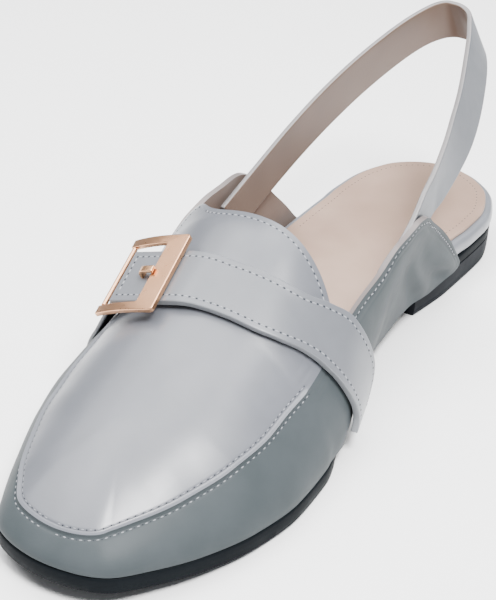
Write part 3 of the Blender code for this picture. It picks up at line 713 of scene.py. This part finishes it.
def round_edges(piece, width):
    """Softened cut edges."""
    soft = piece.modifiers.new("soft_edges", "BEVEL")
    soft.width = width
    soft.segments = 3
    soft.limit_method = "ANGLE"
    soft.angle_limit = radians(55)


vamp_leather = smooth_leather("vamp_leather", (0.125, 0.131, 0.149), (0.099, 0.105, 0.120), dressing=0.42)
# The side wall and wings: the vamp's grey leather made less than half as pale and greener. This is painted
# shade of the shoe's sides; the real shoe is one leather.
wall_leather = smooth_leather("wall_leather", (0.056, 0.065, 0.070), (0.039, 0.048, 0.051), 0.46, 0.03, 0.06)
inner_lining = lining_leather("inner_lining", (0.165, 0.120, 0.100), (0.120, 0.083, 0.066))
folded_edge = smooth_leather("folded_edge", (0.176, 0.151, 0.146), (0.141, 0.123, 0.120))

FRONT_RIBS = 150
WING_RIBS = 90
TONGUE_RIBS = 34
WALL_ROWS = 20
VAMP_ROWS = 26
notch = turn_at(NOTCH_STATION)
front_turns = spread(notch, pi, FRONT_RIBS)
rear_turns = {side: spread(turn_at(edges[side][1][0]), notch, WING_RIBS)[:-1] for side in edges}
ribs = [(LATERAL, turn) for turn in rear_turns[LATERAL] + front_turns]
ribs += [(MEDIAL, turn) for turn in reversed(rear_turns[MEDIAL] + front_turns[:-1])]
# Distances of the last rows from the edge, in metres, close enough for the seam's ridge and the folds
NEAR = (0.0056, 0.0051, 0.0046, 0.0041, 0.0034, 0.0028, 0.0023, 0.0019, 0.0015, 0.0012, 0.0009, 0.0007,
        0.0005, 0.00035, 0.0002, 0.0)


def near_share(height, distance):
    """A distance from the edge as a share of the way, squeezed where the wall is low."""
    return 1 - distance / max(height, 2 * NEAR[0])


def place_wall(rib, row):
    """Rows run from the feather edge at 0 towards 1, then through whole negative numbers to the edge."""
    side, turn = rib
    height = (edge_point(side, turn) - feather_point(side, turn)).length
    share = near_share(height, NEAR[int(-row) - 1]) if row < 0 else row * near_share(height, NEAR[0])
    distance = (1 - share) * height
    place = wall_point(side, turn, share)
    upright = bell(distance, SEAM_TURN) if turn >= notch else 0.0
    out = wall_out(side, turn, min(share, 0.99)).lerp(seam_up(side, turn), upright).normalized()
    relief = edge_relief(side, turn, distance) + pull_relief(side, place)
    return place + relief * out, place - WALL * out


bm = bmesh.new()
inner = bm.verts.layers.float_vector.new("inner")
wall_rows = spread(0.0, 1.0, WALL_ROWS)[:-1] + [-(i + 1.0) for i in range(len(NEAR))]
add_shell(bm, inner, ribs, wall_rows[::-1], place_wall)
# The side wall and wings take the leather with the painted shade.
for face in bm.faces:
    face.material_index = 3

tongue_length = NOTCH_STATION - TONGUE_STATION
tongue_turns = [turn_at(NOTCH_STATION - tongue_length * cos(pi / 2 * i / TONGUE_RIBS))
                for i in range(TONGUE_RIBS)]


def vamp_out(side, turn, share):
    """The vamp's outward direction."""
    nudge = 0.01
    turn = min(turn, pi - 2 * nudge)
    share = max(share, 2 * nudge)
    over = vamp_point(side, turn, share + nudge) - vamp_point(side, turn, share - nudge)
    along = vamp_point(side, turn + nudge, share) - vamp_point(side, turn - nudge, share)
    return side * along.cross(over).normalized()


def place_vamp(turn, row):
    """Rows run from the crest at 0 to the near rows at the seam, and lateral ones are negative."""
    side = MEDIAL if row >= 0 else LATERAL
    reach = abs(row)
    span = (edge_point(side, turn) - crest_point(fan_station(station_at(turn)))).length
    if reach <= VAMP_ROWS:
        share = reach / VAMP_ROWS * (1 - NEAR[0] / span)
    else:
        share = 1 - NEAR[int(reach) - VAMP_ROWS] / span
    distance = (1 - share) * span
    if turn < notch:
        rib, share = tongue_place(turn, side * share)
        place = vamp_point(side, rib, abs(share))
        return place, place - WALL * vamp_out(side, rib, abs(share))
    place = vamp_point(side, turn, share)
    out = vamp_out(side, turn, share)
    if turn > pi - 1e-6:
        out += vamp_out(-side, turn, share)
    out = out.normalized().lerp(seam_up(side, turn), bell(distance, SEAM_TURN)).normalized()
    return place + edge_relief(side, turn, distance) * out, place - WALL * out


half_rows = list(range(1, VAMP_ROWS + len(NEAR)))
vamp_rows = half_rows[::-1] + [0] + [-row for row in half_rows]
add_shell(bm, inner, tongue_turns + front_turns, vamp_rows, place_vamp)
line_shell(bm, inner)
upper = finish_piece("upper_shell", bm, [vamp_leather, inner_lining, folded_edge, wall_leather])
round_edges(upper, 0.0005)
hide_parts("upper")


# Stitching of upper and sock
# Pale thread in needle holes: beside the toe seam, along the folded top edges of the wings and round the
# tongue, and a finer beige row round the heel of the sock. At both ends of each stitch a near-black spot is
# painted shade in the hole.
PITCH = 0.0022
# Half length, width and height of the spot of painted shade at a needle hole and of the thread between two
# holes
HOLE_SHADE_FORM = (0.00040, 0.00034, 0.00010)
THREAD_FORM = (PITCH * 0.31, 0.00024, 0.00016)
SEAM_ROW = 0.0010
WING_ROW = 0.0023
TONGUE_ROW = 0.0022
SOCK_ROW = 0.0033
FINE = 0.7
thread = Finish("thread", {"Roughness": 0.6, "Sheen Weight": 0.2})
thread.feed("Base Color",
            thread.mixed(thread.noise(0.0006, 2.0), (0.190, 0.197, 0.218), (0.296, 0.303, 0.324)))
thread.bump(thread.noise(0.0002, 2.0), 0.00005, 0.6)
# Painted shade: a near-black colour for the spot at each needle hole, standing in for the shade inside the
# hole.
needle_hole = Finish("needle_hole", {"Specular IOR Level": 0.1})
needle_hole.feed("Base Color",
                 needle_hole.mixed(needle_hole.noise(0.001, 2.0), (0.015, 0.017, 0.02), (0.05, 0.055, 0.065)))
needle_hole.feed("Roughness", 0.7 + 0.2 * needle_hole.noise(0.002, 2.0))


def surface_of(piece):
    """The finished face of a piece, for laying things on it."""
    bpy.context.view_layer.update()
    solid = piece.evaluated_get(bpy.context.evaluated_depsgraph_get())
    return BVHTree.FromObject(solid, bpy.context.evaluated_depsgraph_get())


def walk(points):
    """Places one stitch apart along a line of points."""
    places = [points[0]]
    left = PITCH
    for start, end in zip(points, points[1:]):
        length = (end - start).length
        while left <= length:
            start = start + (end - start) * (left / length)
            length = (end - start).length
            places.append(start.copy())
            left = PITCH
        left -= length
    return places


def add_stitches(bm, surface, points, size=1.0):
    """A row of stitches along a line of points just above a surface, with a spot of painted shade at each
    needle hole.
    """
    holes = [surface.find_nearest(point + MIDDLE)[:2] for point in walk(points)]
    for (start, out), (end, _) in zip(holes, holes[1:]):
        along = (end - start).normalized()
        over = out.cross(along).normalized()
        turned = Matrix((along, over, along.cross(over))).transposed().to_4x4()
        middle = (start + end) / 2 - MIDDLE
        for centre, form, finish in ((start - MIDDLE, HOLE_SHADE_FORM, 1), (middle, THREAD_FORM, 0)):
            stretched = Matrix.Diagonal((*(half * size for half in form), 1.0))
            matrix = Matrix.Translation(centre) @ turned @ stretched
            made = bmesh.ops.create_uvsphere(bm, u_segments=6, v_segments=4, radius=1.0, matrix=matrix)
            for face in {face for vert in made["verts"] for face in vert.link_faces}:
                face.material_index = finish


upper_surface = surface_of(upper)
bm = bmesh.new()
seam_turns = spread(turn_at(NOTCH_STATION + 0.05), pi, 160)
for side in (LATERAL, MEDIAL):
    beside_wall = []
    beside_vamp = []
    for turn in seam_turns:
        height = (edge_point(side, turn) - feather_point(side, turn)).length
        span = (edge_point(side, turn) - crest_point(fan_station(station_at(turn)))).length
        share = 1 - SEAM_ROW / height
        beside_wall.append(wall_point(side, turn, share) + 0.0004 * wall_out(side, turn, share))
        beside_vamp.append(vamp_point(side, turn, 1 - SEAM_ROW / span) + 0.0004 * Vector((0, 0, 1)))
    add_stitches(bm, upper_surface, beside_wall, FINE)
    add_stitches(bm, upper_surface, beside_vamp, FINE)
    top_edge = []
    for turn in spread(turn_at(edges[side][1][0] + 0.022), notch - 0.03, 120):
        height = (edge_point(side, turn) - feather_point(side, turn)).length
        share = 1 - WING_ROW / height
        top_edge.append(wall_point(side, turn, share) + 0.0006 * wall_out(side, turn, share))
    add_stitches(bm, upper_surface, top_edge)

rim = [tongue_place(turn, -1.0) + (LATERAL,) for turn in reversed(tongue_turns)]
rim += [tongue_place(turn, 1.0) + (MEDIAL,) for turn in tongue_turns[1:]]
rim_points = [vamp_point(side, rib, abs(share)) for rib, share, side in rim]
centre = crest_point(NOTCH_STATION)
tongue_line = []
for before, here, after in zip(rim_points, rim_points[1:], rim_points[2:]):
    along = (after - before).normalized()
    inside = (centre - here) - (centre - here).dot(along) * along
    tongue_line.append(here + TONGUE_ROW * inside.normalized() + Vector((0, 0, 0.0004)))
add_stitches(bm, upper_surface, tongue_line[2:-2])
finish_piece("upper_stitches", bm, [thread, needle_hole])

beige_thread = Finish("beige_thread", {"Roughness": 0.6, "Sheen Weight": 0.2})
beige_thread.feed("Base Color", beige_thread.mixed(
    beige_thread.noise(0.0006, 2.0), (0.24, 0.165, 0.125), (0.33, 0.235, 0.185)))
beige_thread.bump(beige_thread.noise(0.0002, 2.0), 0.00005, 0.6)
heel_turns = spread(0, turn_at(0.30), 90)
heel_ribs = [(LATERAL, turn) for turn in reversed(heel_turns)] + [(MEDIAL, turn) for turn in heel_turns[1:]]
sock_line = []
for side, turn in heel_ribs:
    station = station_at(turn)
    plan = outline(side, turn, WALL * bed_inset(station) + SOCK_MARGIN + SOCK_ROW)
    sock_line.append(Vector((plan.x, plan.y, sock_top(station) + 0.0004)))
bm = bmesh.new()
add_stitches(bm, surface_of(sock), sock_line, FINE)
finish_piece("sock_stitches", bm, [beige_thread, needle_hole])


# Heel sling
# One band of doubled leather, grey outside and beige inside, that rises from inside the wings round the heel.
# It is sewn into the wings, stands in a loop by its own stiffness, and its edges are folded and pressed.
SLING_WIDTH = 0.0150
SLING_THICKNESS = 0.0018
SLING_HEIGHT = 0.0770
SLING_REACH = 0.0026
SLING_FALL = 19.8
SLING_SEAT = (-0.02, 0.01)
# Over these stations the medial foot's upper edge dips this far under the wing's top edge
SLING_TUCK = 0.0034
TUCK_STATIONS = (0.350, 0.425)
SLING = (
    ("station", "lateral", "medial", "lateral_lean", "medial_lean"),
    (0.000, 0.034, -0.034, -0.247, 0.247),
    (0.012, 0.108, 0.052, -0.150, 0.300),
    (0.036, 0.157, 0.099, -0.080, 0.390),
    (0.088, 0.216, 0.165, -0.073, 0.410),
    (0.188, 0.285, 0.260, -0.073, 0.350),
    (0.252, 0.311, 0.297, -0.060, 0.180),
    (0.310, 0.325, 0.317, -0.040, 0.020),
    (0.380, 0.334, 0.327, -0.020, -0.060),
    (0.450, 0.340, 0.329, -0.020, -0.060),
)
sling_half = {LATERAL: smooth_curve(SLING, "lateral", turn_at),
              MEDIAL: smooth_curve(SLING, "medial", turn_at)}
sling_lean = {LATERAL: smooth_curve(SLING, "lateral_lean", turn_at),
              MEDIAL: smooth_curve(SLING, "medial_lean", turn_at)}


def wall_inside(side, station, height):
    """How far from the axis the inner face of a wing lies at a height."""
    turn = turn_at(station)
    low, high = 0.0, 1.0
    for _ in range(24):
        middle = (low + high) / 2
        if wall_point(side, turn, middle).z < height:
            low = middle
        else:
            high = middle
    return abs(wall_point(side, turn, low).x) - WALL


def sling_point(side, turn, share):
    """The outer face of the sling, from its lower edge at -1 to its upper edge at 1."""
    fall = radians(SLING_FALL)
    rise = share * SLING_WIDTH / 2
    station = station_at(turn) + (SLING_REACH + rise * sin(fall)) / SOLE_LENGTH
    height = SLING_HEIGHT - tan(fall) * SOLE_LENGTH * station_at(turn) + rise * cos(fall)
    tucked = ease(*TUCK_STATIONS, station)
    if side == MEDIAL and tucked > 0.0:
        top = height + (SLING_WIDTH / 2 - rise) * cos(fall)
        over = top + SLING_TUCK - edge_point(side, turn_at(station)).z
        height -= max(over, 0.0) * tucked * (1 + share) / 2
    lean = SLING_WIDTH * sling_lean[side](turn)
    free = BALL_WIDTH * sling_half[side](turn) + (SLING_THICKNESS - share * lean) / 2
    seat = ease(BREAST_STATION + SLING_SEAT[0], BREAST_STATION + SLING_SEAT[1], station)
    if seat > 0.0:
        seated = wall_inside(side, max(station, BREAST_STATION), height) - CLEARANCE
        free += min(seated - free, 0.0) * seat
    return Vector((side * free, lengthwise(station), height))


sling_leather = smooth_leather("sling_leather", (0.106, 0.113, 0.127), (0.082, 0.089, 0.100),
                               0.44, 0.16, 0.30)
sling_lining = lining_leather("sling_lining", (0.127, 0.082, 0.061), (0.092, 0.057, 0.041))
sling_edge = smooth_leather("sling_edge", (0.190, 0.180, 0.180), (0.156, 0.148, 0.151), 0.42)
turns = spread(0, turn_at(SLING[-1][0]), 150)
rows = [(LATERAL, turn) for turn in reversed(turns)] + [(MEDIAL, turn) for turn in turns[1:]]
bm = bmesh.new()
add_grid(bm, rows, spread(-1.0, 1.0, 18), lambda row, share: sling_point(*row, share))
sling = finish_piece("sling_band", bm, [sling_leather, sling_lining, sling_edge])
wall = sling.modifiers.new("wall", "SOLIDIFY")
wall.thickness = SLING_THICKNESS
wall.offset = -1
wall.use_even_offset = True
wall.material_offset = 1
wall.material_offset_rim = 2
round_edges(sling, 0.0005)
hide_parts("sling_strap")


# Saddle strap
# A band of the same grey leather, lined and turned in at both edges, that crosses the instep from the buckle
# down to the medial sole. A row of stitches runs 2 mm inside each edge.
STRAP_THICKNESS = 0.0021
STRAP_WIDTH = 0.0190
STRAP_FREE = 0.2
BUCKLE_WIDTH = 0.0228
BUCKLE_THICKNESS = 0.0016
BUCKLE_STATION = 0.661
BUCKLE_ACROSS = -0.373
BUCKLE_REACH = 0.652
BUCKLE_ROLL = 20.2
BUCKLE_PITCH = 25.3
BAR_THICKNESS = 0.0016
STRAP_SEAM_RISE = 0.0007
STRAP_ROWS = (0.115, 0.885)
STRAP_ROW_START = 0.035
STRAP_ROW_END = 0.93
STRAP = (
    ("across", "rear", "front", "rear_lift", "front_lift"),
    (-0.56, 0.619, 0.695, 0.10, 0.10),
    (-0.25, 0.623, 0.697, 0.10, 0.10),
    (0.00, 0.625, 0.691, 0.00, 0.00),
    (0.14, 0.621, 0.687, 0.00, 0.00),
    (0.28, 0.613, 0.680, 0.00, 0.00),
    (0.40, 0.603, 0.666, 0.05, 0.00),
    (0.50, 0.585, 0.650, 0.20, 0.00),
    (0.60, 0.568, 0.637, 0.60, 0.05),
    (0.76, 0.565, 0.628, 1.10, 0.10),
    (0.90, 0.580, 0.620, 0.40, 0.05),
    (0.96, 0.590, 0.624, 0.10, 0.00),
)
strap_rear = smooth_curve(STRAP, "rear")
strap_front = smooth_curve(STRAP, "front")
strap_rear_lift = smooth_curve(STRAP, "rear_lift")
strap_front_lift = smooth_curve(STRAP, "front_lift")


def buckle_place():
    """The buckle's matrix: its middle over the strap, X to the lateral side, Y to the toe, Z outwards."""
    stand = 2 * (CLEARANCE + STRAP_THICKNESS) + BUCKLE_THICKNESS / 2 + STRAP_SEAM_RISE / 2
    middle = last_point(BUCKLE_ACROSS, BUCKLE_STATION) + stand * last_normal(BUCKLE_ACROSS, BUCKLE_STATION)
    across = Vector((-cos(radians(BUCKLE_ROLL)), 0.0, -sin(radians(BUCKLE_ROLL))))
    toward = Vector((0.0, -cos(radians(BUCKLE_PITCH)), -sin(radians(BUCKLE_PITCH))))
    out = across.cross(toward).normalized()
    toward = out.cross(across)
    place = Matrix((across, toward, out)).transposed().to_4x4()
    place.translation = middle
    return place


def strap_sheet(across, share):
    """The strap's underside from its end in the buckle, over the instep, to the medial feather edge."""
    station = strap_rear(across) * (1 - share) + strap_front(across) * share
    stand_off = strap_rear_lift(across) * (1 - share) + strap_front_lift(across) * share
    rise = CLEARANCE + STRAP_SEAM_RISE / 2 + STRAP_THICKNESS * stand_off
    laid = last_point(across, station) + rise * last_normal(across, station)
    reach = BALL_WIDTH * BUCKLE_REACH * (BUCKLE_ACROSS - across)
    under = -(BUCKLE_THICKNESS / 2 + CLEARANCE + STRAP_THICKNESS)
    flat = buckle_matrix @ Vector((reach, (share - 0.5) * STRAP_WIDTH, under))
    edge = BUCKLE_ACROSS + BUCKLE_WIDTH / 2 / (BALL_WIDTH * BUCKLE_REACH)
    return laid.lerp(flat, 1 - ease(edge, edge + STRAP_FREE, across))


buckle_matrix = buckle_place()
strap_leather = smooth_leather("strap_leather", (0.131, 0.138, 0.154), (0.106, 0.112, 0.125))
strap_edge = smooth_leather("strap_edge", (0.211, 0.220, 0.235), (0.173, 0.180, 0.194), 0.42)
strap_back = lining_leather("strap_back", (0.238, 0.210, 0.203), (0.189, 0.161, 0.154))
end = BUCKLE_WIDTH / 2 - 1.5 * BAR_THICKNESS - 2 * CLEARANCE
strap_start = BUCKLE_ACROSS - end / (BALL_WIDTH * BUCKLE_REACH)
bm = bmesh.new()
add_grid(bm, spread(strap_start, STRAP[-1][0], 190), spread(0.0, 1.0, 30), strap_sheet)
strap = finish_piece("saddle_band", bm, [strap_leather, strap_back, strap_edge])
wall = strap.modifiers.new("wall", "SOLIDIFY")
wall.thickness = STRAP_THICKNESS
wall.offset = 1
wall.use_even_offset = True
wall.material_offset_rim = 2
round_edges(strap, 0.0006)
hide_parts("saddle_strap")

strap_surface = surface_of(strap)


def above_strap(across, share):
    """A point just above the strap's outer face."""
    nudge = 0.01
    over = strap_sheet(across + nudge, share) - strap_sheet(across - nudge, share)
    along = strap_sheet(across, min(share + 0.05, 1.0)) - strap_sheet(across, max(share - 0.05, 0.0))
    return strap_sheet(across, share) + (STRAP_THICKNESS + 0.0006) * along.cross(over).normalized()


bm = bmesh.new()
for share in STRAP_ROWS:
    row = spread(strap_start + STRAP_ROW_START, STRAP_ROW_END, 160)
    line = [above_strap(across, share) for across in row]
    add_stitches(bm, strap_surface, line)
cross_line = [above_strap(strap_start + STRAP_ROW_START, share) for share in spread(*STRAP_ROWS, 12)]
add_stitches(bm, strap_surface, cross_line)
finish_piece("strap_stitches", bm, [thread, needle_hole])


# Buckle
# A cast and polished plate, rose gold: a broad flat face over the strap and two arms that bend down to a thin
# round bar. A short flat prong comes up through the strap and rests on the face.
BUCKLE_LENGTH = 0.0286
BUCKLE_FACE = 0.0072
BUCKLE_ARM = 0.0031
BUCKLE_ROUNDING = 0.0012
BUCKLE_DROP = 0.0021
PRONG_WIDTH = 0.0022
PRONG_THICKNESS = 0.0011
PRONG_LAP = 0.0011


def rose_gold(name, pale, deep):
    """Plated metal with a warm tone, polished but lightly brushed by wear."""
    finish = Finish(name, {"Metallic": 1.0})
    finish.feed("Base Color", finish.mixed(finish.noise(0.006, 3.0), deep, pale))
    finish.feed("Roughness", 0.22 + 0.16 * finish.noise(0.0012, 4.0))
    finish.bump(finish.noise(0.0005, 3.0), 0.00002, 0.3)
    return finish


def drop_at(reach):
    """How far the buckle's arms have bent down, at a distance from its middle towards the bar."""
    start = -BUCKLE_WIDTH / 4
    return BUCKLE_DROP * (max(reach - start, 0.0) / (BUCKLE_WIDTH / 2 - start)) ** 2


def arm_path(medial, half_length, radius):
    """One edge of the buckle's frame: along the rear arm, round the face and back along the front arm."""
    rear = [(reach, -half_length) for reach in spread(BUCKLE_WIDTH / 2, medial + radius, 24)]
    corner = [(medial + radius * (1 - sin(angle)), -half_length + radius * (1 - cos(angle)))
              for angle in spread(0, pi / 2, 8)[1:]]
    half = rear + corner
    return half + [(reach, -along) for reach, along in reversed(half)]


plate_gold = rose_gold("plate_gold", (0.74, 0.42, 0.25), (0.62, 0.33, 0.18))
outer = arm_path(-BUCKLE_WIDTH / 2, BUCKLE_LENGTH / 2, BUCKLE_ROUNDING)
inner = arm_path(BUCKLE_FACE - BUCKLE_WIDTH / 2, BUCKLE_LENGTH / 2 - BUCKLE_ARM, BUCKLE_ROUNDING / 2)
loop = [(outer, -0.5), (outer, 0.5), (inner, 0.5), (inner, -0.5), (outer, -0.5)]


def place_frame(step, corner):
    path, level = loop[corner]
    reach, along = path[step]
    return buckle_matrix @ Vector((reach, along, level * BUCKLE_THICKNESS - drop_at(reach)))


bm = bmesh.new()
add_grid(bm, list(range(len(outer))), list(range(len(loop))), place_frame)
buckle = finish_piece("buckle_plate", bm, [plate_gold], closed=True)
round_edges(buckle, 0.0003)
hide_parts("buckle_frame")

bar_gold = rose_gold("bar_gold", (0.66, 0.38, 0.23), (0.54, 0.30, 0.17))
bar_reach = BUCKLE_WIDTH / 2 - BAR_THICKNESS
bar_length = BUCKLE_LENGTH - 2 * (BUCKLE_ARM + CLEARANCE)
bm = bmesh.new()
bmesh.ops.create_cone(bm, cap_ends=True, segments=32, radius1=BAR_THICKNESS / 2, radius2=BAR_THICKNESS / 2,
                      depth=bar_length)
bmesh.ops.rotate(bm, cent=(0, 0, 0), matrix=Matrix.Rotation(pi / 2, 3, "X"), verts=bm.verts)
bmesh.ops.transform(bm, matrix=buckle_matrix @ Matrix.Translation((bar_reach, 0.0, -drop_at(bar_reach))),
                    verts=bm.verts)
bar = finish_piece("buckle_axle", bm, [bar_gold], closed=True)
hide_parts("buckle_bar")

prong_gold = rose_gold("prong_gold", (0.78, 0.46, 0.26), (0.66, 0.36, 0.18))
prong_over = BUCKLE_THICKNESS / 2 + CLEARANCE + PRONG_THICKNESS / 2
prong_under = BUCKLE_THICKNESS / 2 + 2 * CLEARANCE + STRAP_THICKNESS + PRONG_THICKNESS / 2
prong_at_bar = max(drop_at(bar_reach) + BAR_THICKNESS / 2 + CLEARANCE + PRONG_THICKNESS / 2, prong_under)
root = BUCKLE_FACE - BUCKLE_WIDTH / 2 + PRONG_WIDTH + 2 * PRONG_THICKNESS
bend = PRONG_THICKNESS
route = [
    Vector((bar_reach + BAR_THICKNESS / 2, -prong_at_bar)),
    Vector((bar_reach - BAR_THICKNESS, -prong_at_bar)),
    Vector((root + 2 * bend, -prong_under)),
    Vector((root + 0.5 * bend, -prong_under + 0.33 * bend)),
    Vector((root, -prong_under + 1.4 * bend)),
    Vector((root - 0.25 * bend, prong_over - bend)),
    Vector((root - bend, prong_over - 0.2 * bend)),
    Vector((root - 2 * bend, prong_over)),
    Vector((BUCKLE_FACE - BUCKLE_WIDTH / 2 - PRONG_LAP, prong_over)),
]
section = [(-0.5, -0.5), (-0.5, 0.5), (0.5, 0.5), (0.5, -0.5), (-0.5, -0.5)]


def place_prong(step, corner):
    before = route[max(step - 1, 0)]
    after = route[min(step + 1, len(route) - 1)]
    way = (after - before).normalized()
    sideways, level = section[corner]
    reach = route[step].x - level * PRONG_THICKNESS * way.y
    height = route[step].y + level * PRONG_THICKNESS * way.x
    return buckle_matrix @ Vector((reach, sideways * PRONG_WIDTH, height))


bm = bmesh.new()
add_grid(bm, list(range(len(route))), list(range(len(section))), place_prong)
prong = finish_piece("buckle_tongue", bm, [prong_gold], closed=True)
round_edges(prong, 0.00028)
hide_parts("buckle_prong")


# Buckle tab
# A narrow grey leather band that comes up the lateral wall and carries the buckle from beneath.
# It is stitched down on the wall, and only its lower end shows.
TAB_THICKNESS = 0.0013
TAB_WIDTH = 0.0120
TAB_FOOT = -0.97
TAB_HEAD = -0.73
tab_leather = smooth_leather("tab_leather", (0.106, 0.112, 0.125), (0.083, 0.089, 0.100))
tab_under = -(prong_at_bar + PRONG_THICKNESS / 2 + CLEARANCE + TAB_THICKNESS)
tab_rows = [("wall", across) for across in spread(TAB_FOOT, TAB_HEAD, 24)]
tab_rows += [("bar", reach) for reach in spread(BUCKLE_WIDTH / 2, BUCKLE_WIDTH / 8, 16)]


def place_tab(row, share):
    kind, value = row
    along = (share - 0.5) * TAB_WIDTH
    if kind == "bar":
        return buckle_matrix @ Vector((value, along, tab_under))
    station = BUCKLE_STATION + along / SOLE_LENGTH
    return last_point(value, station) + CLEARANCE * last_normal(value, station)


bm = bmesh.new()
add_grid(bm, tab_rows, spread(0.0, 1.0, 16), place_tab)
tab = finish_piece("tab_band", bm, [tab_leather])
wall = tab.modifiers.new("wall", "SOLIDIFY")
wall.thickness = TAB_THICKNESS
wall.offset = 1
wall.use_even_offset = True
round_edges(tab, 0.0004)
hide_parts("buckle_tab")
